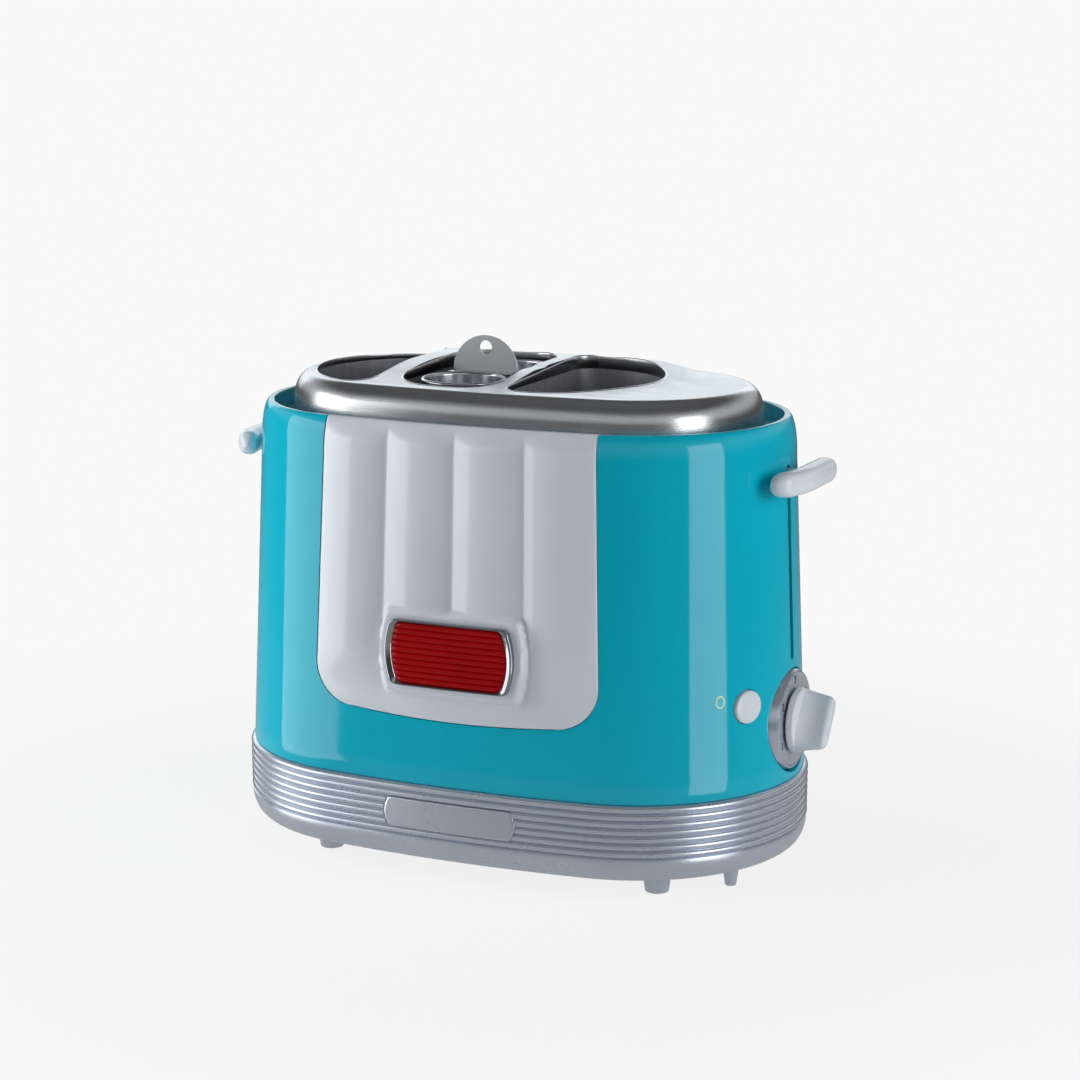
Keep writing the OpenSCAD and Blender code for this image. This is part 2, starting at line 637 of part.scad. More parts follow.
arm_x0 = rod_x + 1.6;
arm_x1 = rod_x + 3.4;
lever_x0 = half_len - 1.8;
lever_x1 = lever_x0 + 11.3;
blade_z0 = lever_z - blade_h / 2;
module slider() color(steel) {
    difference() {
        translate([rod_x - slider_half, rod_y - slider_half, slider_z0])
            cube([slider_half + 3.4, 2 * slider_half, slider_h]);
        translate([rod_x, rod_y, slider_z0 - over]) cylinder(slider_h + 2 * over, r = rod_r + rod_play);
    }
    translate([arm_x0, -blade_t / 2, blade_z0 - 2]) cube([arm_x1 - arm_x0, rod_y - rod_r - 0.5 + blade_t / 2, blade_h + 2]);
    translate([arm_x0, -blade_t / 2, blade_z0]) cube([lever_x0 + 6 - arm_x0, blade_t, blade_h]);
}
module right_slider() slider();
module left_slider() mirrored_end() slider();

module strip(a, b) {
    d = b - a;
    translate([a[0], a[1], bar_z]) rotate([0, 0, atan2(d[1], d[0])]) translate([0, -bar_t / 2, 0])
        cube([norm(d), bar_t, bar_h]);
}
strip_x = rod_x - slider_half - bar_t / 2;
module carriage_frame() color(steel) {
    front_x1 = right_x1 + 3;
    bend_x = strip_x - 16;
    strip([-bend_x, -bar_y], [front_x1, -bar_y]);
    strip([-bend_x, bar_y], [bend_x - 3, bar_y]);
    strip([-strip_x, bar_y - 14], [-bend_x, bar_y]);
    strip([-strip_x, 14 - bar_y], [-bend_x, -bar_y]);
    strip([-strip_x, 14 - bar_y], [-strip_x, bar_y - 14]);
    strip([bend_x - 3, bar_y], [strip_x, bar_y - 16]);
    strip([strip_x, bar_y - 16], [strip_x, rod_y - slider_half]);
}
carrier_t = 1.2;
carrier_w = 22;
module carrier(x, w) color(steel) {
    y1 = bar_y - bar_t / 2;
    translate([x - w / 2, -y1, platform_z]) cube([w, 2 * y1, carrier_t]);
    for (s = [-1, 1]) translate([x - w / 2, s * (y1 - carrier_t / 2) - carrier_t / 2, platform_z])
        cube([w, carrier_t, bar_z + bar_h - platform_z]);
}
left_mid = wells_x0 + left_well_w / 2;
right_mid = right_x0 + right_well_w / 2;
module left_bun_carrier() carrier(left_mid, carrier_w);
module sausage_carrier() carrier(cage_x, carrier_w);
module right_bun_carrier() carrier(right_mid, carrier_w);

latch_x = right_end_x + 6;
latch_w = 12;
latch_y = bar_y - bar_t / 2 - 13;
module armature_plate() color(dark) translate([latch_x, latch_y, bar_z]) cube([latch_w, 13, 1.5]);
module latch_magnet() color(dark) {
    top = bar_z - travel - 0.7;
    translate([latch_x + 2, latch_y + 2, floor_z]) cube([latch_w - 4, 8, top - floor_z]);
    translate([latch_x, latch_y, top - 16]) cube([latch_w, 12, 13]);
}

module lever() color(white) difference() {
    intersection() {
        translate([lever_x0, 0, lever_z]) rotate([90, 0, 90]) linear_extrude(lever_x1 - lever_x0) {
            for (s = [-1, 1]) translate([s * (lever_w - lever_h) / 2, 0]) circle(lever_h / 2);
            square([lever_w - lever_h, lever_h], center = true);
        }
        translate([lever_x1 - 90, 0, lever_z - lever_h]) cylinder(2 * lever_h, r = 90, $fn = 180);
    }
    translate([lever_x0 - over, -blade_t / 2 - 0.1, blade_z0 - 0.1]) cube([7.2 + over, blade_t + 0.2, blade_h + 0.2]);
}
module right_lever() lever();
module left_lever() mirrored_end() lever();

/* ---- sausage cage ---- */
cage_z0 = platform_z + carrier_t + gap;
cage_top = cap_z + 1.4;
tube_t = 1;
bridge_half = tube_apart / 2 + 2;
window_w = 10;
window_h = 60;
rim_h = 1.6;
rim_out = 0.8;
module at_tube(side) translate([cage_x, side * tube_pitch / 2, 0]) children();
module tube_solid(grow) {
    translate([0, 0, cage_z0 - grow]) cylinder(cage_top - cage_z0 + 2 * grow, r = tube_r + grow, $fn = 96);
    translate([0, 0, cage_top - rim_h - grow]) cylinder(rim_h + 2 * grow, r = tube_r + rim_out + grow, $fn = 96);
}
module cage_tube(side) color(steel) at_tube(side) {
    difference() {
        tube_solid(0);
        translate([0, 0, cage_z0 - over])
            cylinder(cage_top - cage_z0 + 2 * over, r = tube_r - tube_t, $fn = 96);
        for (a = [45:90:315]) rotate([0, 0, a]) translate([tube_r - 4, -window_w / 2, cage_z0 + 12])
            cube([8, window_w, window_h]);
    }
    for (a = [0, 90]) rotate([0, 0, a]) translate([-tube_r + tube_t / 2, -1.5, cage_z0])
        cube([2 * tube_r - tube_t, 3, tube_t]);
}
module front_cage_tube() cage_tube(-1);
module rear_cage_tube() cage_tube(1);
module cage_bridges() color(steel) difference() {
    union() {
        translate([cage_x - tab_r, -bridge_half, cage_top - tube_t]) cube([2 * tab_r, 2 * bridge_half, tube_t]);
        translate([cage_x - tab_r / 2, -bridge_half, cage_z0]) cube([tab_r, 2 * bridge_half, tube_t]);
    }
    for (s = [-1, 1]) at_tube(s) tube_solid(seat);
}
module cage_tab() color(silver) translate([cage_x, 0, cage_top]) rotate([90, 0, 0])
    linear_extrude(1.2, center = true) difference() {
        intersection() {
            circle(tab_r, $fn = 96);
            translate([-tab_r, 0]) square([2 * tab_r, tab_r]);
        }
        translate([0, 11.2]) circle(3.4);
    }

/* ---- crumb tray ---- */
tray_wall = 1;
module crumb_tray() color(steel) {
    deep = tray_y1 - tray_y0;
    difference() {
        translate([tray_x0, tray_y0, tray_z]) cube([tray_x1 - tray_x0, deep, tray_h]);
        translate([tray_x0 + tray_wall, tray_y0 + tray_wall, tray_z + tray_wall])
            cube([tray_x1 - tray_x0 - 2 * tray_wall, deep - 2 * tray_wall, tray_h]);
    }
    intersection() {
        translate([tray_x0, tray_y1 - over, tray_z]) cube([tray_x1 - tray_x0, half_w, tray_wall]);
        linear_extrude(tray_z + 2 * tray_wall) polygon(ring(1.6));
    }
}
module tray_front() color(silver) intersection() {
    through_back() union() {
        translate([tray_front_x0 + seat, tray_front_z0 + seat])
            square([tray_front_x1 - tray_front_x0 - 2 * seat, tray_front_z1 - tray_front_z0 - 2 * seat]);
    }
    union() {
        plan_band(0.6 - rib_proud, 1.6, rib_z0, seam_z);
        translate([0, 0, tray_front_z0 + seat]) linear_extrude(3) difference() {
            polygon(ring(-rib_proud));
            polygon(ring(1));
        }
    }
}

/* ---- controls ---- */
bezel_x0 = half_len - 8.5;
bezel_x1 = half_len - 0.4;
module at_dial(x) { translate([x, 0, dial_z]) rotate([0, 90, 0]) children(); }
module dial_bezel() color(silver) difference() {
    union() {
        at_dial(bezel_x0) cylinder(3.4, r = dial_r);
        at_dial(bezel_x0 + 3.4) cylinder(bezel_x1 - bezel_x0 - 3.4, r1 = dial_r, r2 = dial_r - 1.4);
    }
    at_dial(bezel_x0 - over) cylinder(20, r = shaft_r + 1.2);
}
knob_x0 = bezel_x1 + 0.4;
knob_x1 = bezel_x1 + knob_h;
knob_bore = 9;
control_x0 = right_end_x + 20;
module dial_shaft() color(steel) at_dial(control_x0 + 2) cylinder(knob_x0 + knob_bore - 0.5 - control_x0 - 2, r = shaft_r);
module timer_knob() color(white) difference() {
    union() {
        at_dial(knob_x0) cylinder(3.6, r = knob_len / 2 - 2.5);
        translate([0, 0, dial_z]) rotate([knob_angle, 0, 0]) hull() for (s = [-1, 1]) {
            translate([knob_x0, 0, s * (knob_len / 2 - 6)]) rotate([0, 90, 0]) cylinder(0.5, r = 6, $fn = 32);
            translate([knob_x1 - 3, 0, s * (knob_len / 2 - 6)]) rotate([0, 90, 0]) cylinder(0.5, r = 5, $fn = 32);
            translate([knob_x1 - 0.5, 0, s * (knob_len / 2 - 6)]) rotate([0, 90, 0]) cylinder(0.5, r = 2.6, $fn = 32);
        }
    }
    at_dial(knob_x0 - over) cylinder(knob_bore + over, r = shaft_r + 0.02);
}
module timer_control() color(dark) difference() {
    at_dial(control_x0) cylinder(10, r = 8.5);
    at_dial(control_x0 + 1) cylinder(20, r = shaft_r + rod_play);
}
pcb_t = 1.6;
pcb_y0 = -34;
pcb_y1 = 14;
pcb_z0 = 50;
pcb_z1 = 104;
relay = [9, 14, 18];
capacitor = [7, 5];                // height and radius
driver = [5, 14, 7];
module control_board() color([0.1, 0.4, 0.2]) translate([control_x0 - pcb_t, pcb_y0, pcb_z0])
    cube([pcb_t, pcb_y1 - pcb_y0, pcb_z1 - pcb_z0]);
module board_components() color(dark) {
    translate([control_x0, pcb_y0 + 4, pcb_z0 + 6]) cube(relay);
    translate([control_x0, pcb_y0 + 8, pcb_z1 - 16]) rotate([0, 90, 0]) cylinder(capacitor[0], r = capacitor[1]);
    translate([control_x0, pcb_y1 - 26, pcb_z1 - 12]) cube(driver);
}
module board_standoffs() color(silver) for (y = [pcb_y0 + 4, pcb_y1 - 4]) for (z = [pcb_z0 + 4, pcb_z1 - 4])
    translate([right_end_x + end_t / 2, y, z]) rotate([0, 90, 0])
        cylinder(control_x0 - pcb_t - right_end_x - end_t / 2, r = 2.5);

button_dome = 30;
button_back = flat_r - shell_wall - 2.6;
stem_end = button_back - 8.2;
switch_top = stem_end - button_travel - 0.1;
switch_w = 6;
switch_h = 4;
switch_pcb = 20;
switch_foot = 8;
module stop_button() color(white) {
    intersection() {
        at_button() cylinder(flat_r + 2.4, r = button_r);
        at_button() translate([0, 0, flat_r + 2.4 - button_dome]) sphere(button_dome, $fn = 96);
        at_button() translate([0, 0, button_back]) cylinder(30, r = 20);
    }
    at_button() translate([0, 0, button_back]) cylinder(1.4, r = button_r + 1.8);
    at_button() translate([0, 0, stem_end]) cylinder(button_back - stem_end + 0.5, r = 3);
}
module stop_switch() color([0.1, 0.4, 0.2]) at_button() {
    translate([-switch_w / 2, -switch_w / 2, switch_top - switch_h]) cube([switch_w, switch_w, switch_h]);
    translate([-switch_pcb / 2, -switch_pcb / 2, switch_top - switch_h - pcb_t]) cube([switch_pcb, switch_pcb, pcb_t]);
}
module switch_bracket() color(steel) translate([end_x, 0, 0]) rotate([0, 0, -button_angle]) {
    x1 = switch_top - switch_h - pcb_t;
    translate([x1 - bracket_t, -switch_foot, floor_z]) cube([bracket_t, 2 * switch_foot, button_z + 10 - floor_z]);
    translate([x1 - 9, -switch_foot, floor_z]) cube([8, 2 * switch_foot, bracket_t]);
}
module cord_grommet() color(dark) at_grommet() difference() {
    union() {
        translate([0, 0, end_r - inner_inset - 2]) cylinder(inner_inset + rib_proud + 3.6, r = grommet_r);
        translate([0, 0, end_r + rib_proud]) cylinder(1.6, r = grommet_r + 2.4);
    }
    translate([0, 0, end_r - 20]) cylinder(40, r = 3.4);
}

body_shell();
front_panel();
badge_frame();
badge_lens();
base_skirt();
name_plate();
base_plate();
base_screws();
top_cap();
left_bun_chute();
sausage_chute();
right_bun_chute();
left_bun_guard();
right_bun_guard();
heater_board_a();
heater_board_b();
heater_board_c();
heater_board_d();
heater_ribbons();
left_end_plate();
right_end_plate();
front_heat_shield();
rear_heat_shield();
left_rod_bracket();
right_rod_bracket();
left_guide_rod();
right_guide_rod();
left_return_spring();
right_return_spring();
left_slider();
right_slider();
carriage_frame();
left_bun_carrier();
sausage_carrier();
right_bun_carrier();
armature_plate();
latch_magnet();
left_lever();
right_lever();
front_cage_tube();
rear_cage_tube();
cage_bridges();
cage_tab();
crumb_tray();
tray_front();
dial_bezel();
dial_shaft();
timer_knob();
timer_control();
control_board();
board_components();
board_standoffs();
stop_button();
stop_switch();
switch_bracket();
cord_grommet();
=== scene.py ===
import json
from math import atan2, copysign, cos, degrees, dist, hypot, pi, radians, sin, sqrt

import bmesh
import bpy
from mathutils import Matrix, Vector


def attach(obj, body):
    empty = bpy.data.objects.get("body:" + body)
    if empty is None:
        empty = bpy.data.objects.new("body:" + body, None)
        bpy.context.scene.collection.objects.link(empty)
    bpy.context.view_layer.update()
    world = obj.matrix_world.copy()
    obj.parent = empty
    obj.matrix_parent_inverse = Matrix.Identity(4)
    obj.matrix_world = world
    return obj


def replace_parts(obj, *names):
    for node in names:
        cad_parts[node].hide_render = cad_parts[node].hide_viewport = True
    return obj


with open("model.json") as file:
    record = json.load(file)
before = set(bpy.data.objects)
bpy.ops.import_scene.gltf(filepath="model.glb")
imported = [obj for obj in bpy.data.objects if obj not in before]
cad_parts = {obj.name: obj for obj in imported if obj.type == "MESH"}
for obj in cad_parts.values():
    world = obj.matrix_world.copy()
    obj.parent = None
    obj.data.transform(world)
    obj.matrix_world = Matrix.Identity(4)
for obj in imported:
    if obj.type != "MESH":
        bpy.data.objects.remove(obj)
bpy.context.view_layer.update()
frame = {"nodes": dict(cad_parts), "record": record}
scene = bpy.context.scene
mm = 0.001
print("toaster: frame loaded")

# camera, light and floor
cameraFit = {"azimuth": 24.51, "elevation": 12.91, "distance": 1.35087, "focal": 2793.25,
             "centreX": 525.13, "centreY": 605.19, "aimZ": 0.115, "picture": 1080}


def makeCamera(fit):
    az, el = radians(fit["azimuth"]), radians(fit["elevation"])
    back = Vector((sin(az) * cos(el), -cos(az) * cos(el), sin(el)))
    data = bpy.data.cameras.new("camera")
    data.sensor_width = 36
    data.lens = fit["focal"] * 36 / fit["picture"]
    data.shift_x = (fit["picture"] / 2 - fit["centreX"]) / fit["picture"]
    data.shift_y = (fit["centreY"] - fit["picture"] / 2) / fit["picture"]
    data.clip_end = 50
    data.dof.use_dof = False
    camera = bpy.data.objects.new("camera", data)
    camera.location = Vector((0, 0, fit["aimZ"])) + back * fit["distance"]
    camera.rotation_euler = (-back).to_track_quat("-Z", "Y").to_euler()
    scene.collection.objects.link(camera)
    scene.camera = camera


makeCamera(cameraFit)
scene.view_settings.view_transform = "Standard"

# azimuth is measured from +X, so -90 is in front; a box whose mirror is False lights without being reflected
boxAim = {"height": 0.13, "distance": 1.5}
softboxes = {
    "topBox": {"azimuth": -110, "elevation": 78, "size": (1.4, 1.0), "power": 3.0, "mirror": False},
    "leftKey": {"azimuth": -166, "elevation": 18, "size": (0.8, 0.9), "power": 15, "mirror": False},
    "rightKey": {"azimuth": 2, "elevation": 16, "size": (0.7, 0.8), "power": 7.5, "mirror": False},
    "leftBox": {"azimuth": -151, "elevation": 1, "size": (1.2, 1.2), "power": 10},
    "rightBox": {"azimuth": -17, "elevation": -1, "size": (0.68, 1.2), "power": 7.5},
    "backBox": {"azimuth": 122, "elevation": 16, "size": (2.3, 0.8), "power": 5.6, "distance": 2.0,
                "tint": (0.86, 0.96, 1.0)},
}


def makeSoftbox(name, box):
    az, el = radians(box["azimuth"]), radians(box["elevation"])
    toward = Vector((cos(az) * cos(el), sin(az) * cos(el), sin(el)))
    data = bpy.data.lights.new(name, "AREA")
    data.shape = "RECTANGLE"
    data.size, data.size_y = box["size"]
    data.energy = box["power"]
    data.color = box.get("tint", (1, 1, 1))
    light = bpy.data.objects.new(name, data)
    light.location = Vector((0, 0, boxAim["height"])) + toward * box.get("distance", boxAim["distance"])
    light.rotation_euler = (-toward).to_track_quat("-Z", "Y").to_euler()
    light.visible_camera = False
    light.visible_glossy = box.get("mirror", True)
    scene.collection.objects.link(light)


for boxName, boxValues in softboxes.items():
    makeSoftbox(boxName, boxValues)


def node(tree, kind, inputs=None, **values):
    made = tree.nodes.new(kind)
    for key, value in values.items():
        setattr(made, key, value)
    for key, value in (inputs or {}).items():
        made.inputs[key].default_value = value
    return made


def wire(tree, *links):
    # each link is (from node, output, to node, input)
    for source, output, target, socket in links:
        tree.links.new(source.outputs[output], target.inputs[socket])


def grey(value):
    return (value, value, value, 1)


# levels: brightness of the room by the height of the direction, from straight down (0) to straight up (1)
studio = {"camera": 0.947, "diffuse": 0.36, "mirror": 1.4,
          "levels": [(0.0, 0.30), (0.36, 0.30), (0.42, 0.07), (0.52, 0.07),
                     (0.60, 0.42), (0.70, 0.42), (0.82, 0.06), (1.0, 0.10)]}


def makeWorld(values):
    world = bpy.data.worlds.new("studio")
    scene.world = world
    world.use_nodes = True
    tree = world.node_tree
    tree.nodes.clear()
    out = node(tree, "ShaderNodeOutputWorld")
    seen = node(tree, "ShaderNodeBackground", {"Color": grey(values["camera"])})
    around = node(tree, "ShaderNodeBackground")
    ramp = node(tree, "ShaderNodeValToRGB")
    stops = ramp.color_ramp.elements
    for i, (height, bright) in enumerate(values["levels"]):
        stop = stops[i] if i < 2 else stops.new(height)
        stop.position = height
        stop.color = grey(bright)
    coords = node(tree, "ShaderNodeTexCoord")
    split = node(tree, "ShaderNodeSeparateXYZ")
    level = node(tree, "ShaderNodeMapRange", {"From Min": -1})
    path = node(tree, "ShaderNodeLightPath")
    strength = node(tree, "ShaderNodeMapRange", {"To Min": values["diffuse"], "To Max": values["mirror"]})
    mix = node(tree, "ShaderNodeMixShader")
    wire(tree, (coords, "Generated", split, 0), (split, "Z", level, "Value"),
         (level, "Result", ramp, "Fac"), (ramp, "Color", around, "Color"),
         (path, "Is Glossy Ray", strength, "Value"), (strength, "Result", around, "Strength"),
         (path, "Is Camera Ray", mix, 0), (around, 0, mix, 1), (seen, 0, mix, 2),
         (mix, 0, out, "Surface"))


makeWorld(studio)

# camera rays see a plain paper that fades in from shadowNear to shadowFar, so shadows stay near the part
floorValues = {"size": 14.0, "below": 0.0002, "seen": 0.947, "colour": 0.86, "glow": 0.12,
               "plainNear": 0.86, "shadowNear": 0.22, "shadowFar": 0.5}


def makeFloor(values):
    bm = bmesh.new()
    bmesh.ops.create_grid(bm, x_segments=2, y_segments=2, size=values["size"] / 2)
    bmesh.ops.translate(bm, vec=(0, 0, -values["below"]), verts=bm.verts)
    mesh = bpy.data.meshes.new("floor")
    bm.to_mesh(mesh)
    bm.free()
    floor = bpy.data.objects.new("floor", mesh)
    scene.collection.objects.link(floor)
    material = bpy.data.materials.new("floorPaper")
    material.use_nodes = True
    tree = material.node_tree
    tree.nodes.clear()
    out = node(tree, "ShaderNodeOutputMaterial")
    paper = node(tree, "ShaderNodeBsdfDiffuse", {"Color": grey(values["colour"])})
    plain = node(tree, "ShaderNodeEmission", {"Color": grey(values["seen"])})
    glow = node(tree, "ShaderNodeEmission", {"Color": grey(values["glow"])})
    lit = node(tree, "ShaderNodeAddShader")
    coords = node(tree, "ShaderNodeTexCoord")
    length = node(tree, "ShaderNodeVectorMath", operation="LENGTH")
    near = node(tree, "ShaderNodeMapRange", {
        "From Min": values["shadowNear"], "From Max": values["shadowFar"], "To Min": values["plainNear"]},
        interpolation_type="SMOOTHSTEP")
    path = node(tree, "ShaderNodeLightPath")
    both = node(tree, "ShaderNodeMath", operation="MULTIPLY")
    mix = node(tree, "ShaderNodeMixShader")
    wire(tree, (coords, "Object", length, 0), (length, "Value", near, "Value"), (near, "Result", both, 0),
         (path, "Is Camera Ray", both, 1), (paper, 0, lit, 0), (glow, 0, lit, 1), (both, 0, mix, 0),
         (lit, 0, mix, 1), (plain, 0, mix, 2), (mix, 0, out, "Surface"))
    mesh.materials.append(material)
    # reflections look past the floor, down to the foot of the soft boxes
    floor.visible_glossy = False


makeFloor(floorValues)
print("toaster: camera, lights and floor made")


# finishes
def newGroup(name, inputs):
    # both groups put out a colour, a roughness and a height
    colour, number, vector = "NodeSocketColor", "NodeSocketFloat", "NodeSocketVector"
    group = bpy.data.node_groups.new(name, "ShaderNodeTree")
    for label, value in inputs.items():
        kind = number if isinstance(value, float) else vector if len(value) == 3 else colour
        group.interface.new_socket(label, in_out="INPUT", socket_type=kind).default_value = value
    for label, kind in (("Color", colour), ("Roughness", number), ("Height", number)):
        group.interface.new_socket(label, in_out="OUTPUT", socket_type=kind)
    return group, node(group, "NodeGroupInput"), node(group, "NodeGroupOutput")


# the part of 0 to 1 that noise really covers
noiseSpan = (0.3, 0.7)


def spread(group, source, output, target, socket, given=None):
    # stretches noise over 0 to 1, or from Gloss Low to Gloss High of the given inputs, for the socket
    out = node(group, "ShaderNodeMapRange", {"From Min": noiseSpan[0], "From Max": noiseSpan[1]})
    wire(group, (source, output, out, "Value"), (out, "Result", target, socket))
    if given:
        wire(group, (given, "Gloss Low", out, "To Min"), (given, "Gloss High", out, "To Max"))


def makeSkinGroup():
    # a moulded or painted skin: faint cloudiness, uneven gloss, a fine orange peel
    group, given, result = newGroup("mouldedSkin", {
        "Color": grey(0.8), "Cloud Color": grey(0.7), "Cloud Scale": 18.0, "Peel Scale": 900.0,
        "Gloss Low": 0.1, "Gloss High": 0.16})
    coords = node(group, "ShaderNodeTexCoord")
    cloud = node(group, "ShaderNodeTexNoise", {"Detail": 3})
    smear = node(group, "ShaderNodeTexNoise", {"Scale": 55, "Detail": 5})
    peel = node(group, "ShaderNodeTexNoise", {"Detail": 1})
    mix = node(group, "ShaderNodeMix", data_type="RGBA")
    for noise in (cloud, smear, peel):
        wire(group, (coords, "Object", noise, "Vector"))
    wire(group, (given, "Cloud Scale", cloud, "Scale"), (given, "Peel Scale", peel, "Scale"),
         (given, "Color", mix, 6), (given, "Cloud Color", mix, 7),
         (mix, 2, result, "Color"), (peel, "Fac", result, "Height"))
    spread(group, cloud, "Fac", mix, 0)
    spread(group, smear, "Fac", result, "Roughness", given)
    return group


def makeBrushGroup():
    # rolled or brushed metal: long fine streaks along one direction, and smears
    group, given, result = newGroup("brushedMetal", {
        "Color": grey(0.6), "Streak Color": grey(0.5), "Streaks": (20, 20, 2000),
        "Gloss Low": 0.2, "Gloss High": 0.3})
    coords = node(group, "ShaderNodeTexCoord")
    stretch = node(group, "ShaderNodeVectorMath", operation="MULTIPLY")
    fine = node(group, "ShaderNodeTexNoise", {"Scale": 1, "Detail": 4})
    smear = node(group, "ShaderNodeTexNoise", {"Scale": 40, "Detail": 4})
    # the streaks make 55 % of the unevenness of the gloss and the smears the rest
    both = node(group, "ShaderNodeMath", {1: 0.55}, operation="MULTIPLY_ADD")
    share = node(group, "ShaderNodeMath", {1: 0.45}, operation="MULTIPLY")
    mix = node(group, "ShaderNodeMix", data_type="RGBA")
    wire(group, (coords, "Object", stretch, 0), (given, "Streaks", stretch, 1), (stretch, 0, fine, "Vector"),
         (coords, "Object", smear, "Vector"), (smear, "Fac", share, 0), (fine, "Fac", both, 0),
         (share, 0, both, 2), (given, "Color", mix, 6), (given, "Streak Color", mix, 7),
         (mix, 2, result, "Color"), (fine, "Fac", result, "Height"))
    spread(group, fine, "Fac", mix, 0)
    spread(group, both, 0, result, "Roughness", given)
    return group


mouldedSkin = makeSkinGroup()
brushedMetal = makeBrushGroup()
bumpHeight = 0.0002


def makeFinish(name, group, values, bump, **sockets):
    material = bpy.data.materials.new(name)
    material.use_nodes = True
    tree = material.node_tree
    shader = tree.nodes["Principled BSDF"]
    for key, value in sockets.items():
        shader.inputs[key.replace("_", " ")].default_value = value
    detail = node(tree, "ShaderNodeGroup", node_tree=group)
    for key, value in values.items():
        detail.inputs[key].default_value = value
    height = node(tree, "ShaderNodeBump", {"Strength": bump, "Distance": bumpHeight})
    wire(tree, (detail, "Color", shader, "Base Color"), (detail, "Roughness", shader, "Roughness"),
         (detail, "Height", height, "Height"), (height, "Normal", shader, "Normal"))
    return material


def tone(r, g, b):
    # a colour picked as it looks on screen, made linear
    return tuple((c / 255) ** 2.2 for c in (r, g, b)) + (1,)


def skin(name, colour, cloud, gloss, peel=0.06, peelScale=700.0, cloudScale=14.0, **sockets):
    return makeFinish(name, mouldedSkin, {
        "Color": colour, "Cloud Color": cloud, "Cloud Scale": cloudScale, "Peel Scale": peelScale,
        "Gloss Low": gloss[0], "Gloss High": gloss[1]}, peel, **sockets)


def metal(name, colour, streak, gloss, streaks, bump=0.05, metallic=1.0):
    return makeFinish(name, brushedMetal, {
        "Color": colour, "Streak Color": streak, "Streaks": streaks,
        "Gloss Low": gloss[0], "Gloss High": gloss[1]}, bump, Metallic=metallic)


finishes = {
    "teal_shell": skin("tealGloss", tone(0, 178, 203), tone(0, 173, 198), (0.05, 0.09), 0.02,
                       Specular_IOR_Level=0.42),
    "white_gloss": skin("whiteGloss", tone(219, 226, 234), tone(213, 220, 229), (0.10, 0.16), 0.02),
    "badge_chrome": metal("badgeChrome", tone(165, 167, 174), tone(150, 152, 160), (0.06, 0.12),
                          (30, 30, 30), 0.01),
    "badge_red": skin("redLens", tone(172, 0, 12), tone(150, 0, 9), (0.10, 0.16), 0.02,
                      Specular_IOR_Level=0.12, Coat_Weight=0.15),
    "silver_paint": skin("silverPaint", tone(208, 216, 228), tone(200, 208, 221), (0.24, 0.34), 0.05,
                         2600.0, Metallic=0.78),
    "brushed_top": metal("brushedTop", tone(205, 207, 210), tone(190, 192, 196), (0.20, 0.30),
                         (14, 500, 2600), 0.06),
    "polished_steel": metal("polishedSteel", tone(196, 198, 202), tone(182, 184, 190), (0.12, 0.22),
                            (400, 400, 18), 0.03),
    "wire_steel": metal("wireSteel", tone(180, 180, 184), tone(160, 160, 165), (0.2, 0.3), (300, 300, 60)),
    "mica": skin("micaBoard", tone(196, 184, 150), tone(170, 155, 120), (0.5, 0.7), 0.3, 1500.0, 60.0),
    "heater_alloy": metal("heaterRibbon", tone(150, 142, 132), tone(110, 100, 92), (0.35, 0.5),
                          (200, 40, 200)),
    "plain_steel": metal("zincSteel", tone(178, 181, 186), tone(160, 164, 170), (0.28, 0.42),
                         (60, 60, 500)),
    "dark_plastic": skin("darkMoulding", tone(38, 38, 42), tone(30, 30, 34), (0.4, 0.5), 0.2, 1600.0),
    "board_green": skin("boardGreen", tone(26, 100, 60), tone(20, 84, 50), (0.3, 0.45), 0.1),
    "black_rubber": skin("blackRubber", tone(30, 30, 32), tone(24, 24, 26), (0.55, 0.7), 0.3, 1400.0),
}
printDark = skin("printDark", tone(34, 34, 40), tone(44, 44, 50), (0.4, 0.5))
printCream = skin("printCream", tone(206, 232, 205), tone(196, 224, 196), (0.35, 0.45))
# a lighter copy of the top's steel for the plate's upward faces: a painted highlight for the light from
# above
plateTopPaintedLight = metal("plateTopPaintedLight", tone(228, 232, 236), tone(222, 226, 231), (0.30, 0.42), (10, 900, 900), 0.02)
tabSteel = metal("tabSteel", tone(205, 210, 212), tone(196, 201, 204), (0.34, 0.42),
                 (18, 18, 700), 0.03, 0.3)
chuteSteel = metal("chuteSteel", tone(200, 201, 206), tone(184, 185, 191), (0.26, 0.40),
                   (400, 400, 18), 0.03, 0.8)

slotOf = {s["node"]: s["material_slot"] for s in frame["record"]["subparts"]}
for nodeName, nodeObject in frame["nodes"].items():
    nodeObject.data.materials.clear()
    nodeObject.data.materials.append(finishes[slotOf[nodeName]])
print("toaster: finishes made")


# modelling helpers, in millimetres
def finishPiece(bm, name, body, slot, material=None, sharp=35, flip=False, weld=0.001):
    if weld:
        bmesh.ops.remove_doubles(bm, verts=bm.verts, dist=weld)
    bmesh.ops.recalc_face_normals(bm, faces=bm.faces)
    if flip:
        bmesh.ops.reverse_faces(bm, faces=bm.faces)
    bmesh.ops.scale(bm, vec=(mm, mm, mm), verts=bm.verts)
    mesh = bpy.data.meshes.new(name)
    bm.to_mesh(mesh)
    bm.free()
    piece = bpy.data.objects.new(name, mesh)
    scene.collection.objects.link(piece)
    mesh.materials.append(material or finishes[slot])
    mesh.shade_smooth()
    mesh.set_sharp_from_angle(angle=radians(sharp))
    if body:
        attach(piece, body)
    return piece


def cutterPiece(bm, name):
    return finishPiece(bm, name, None, None, finishes["dark_plastic"])


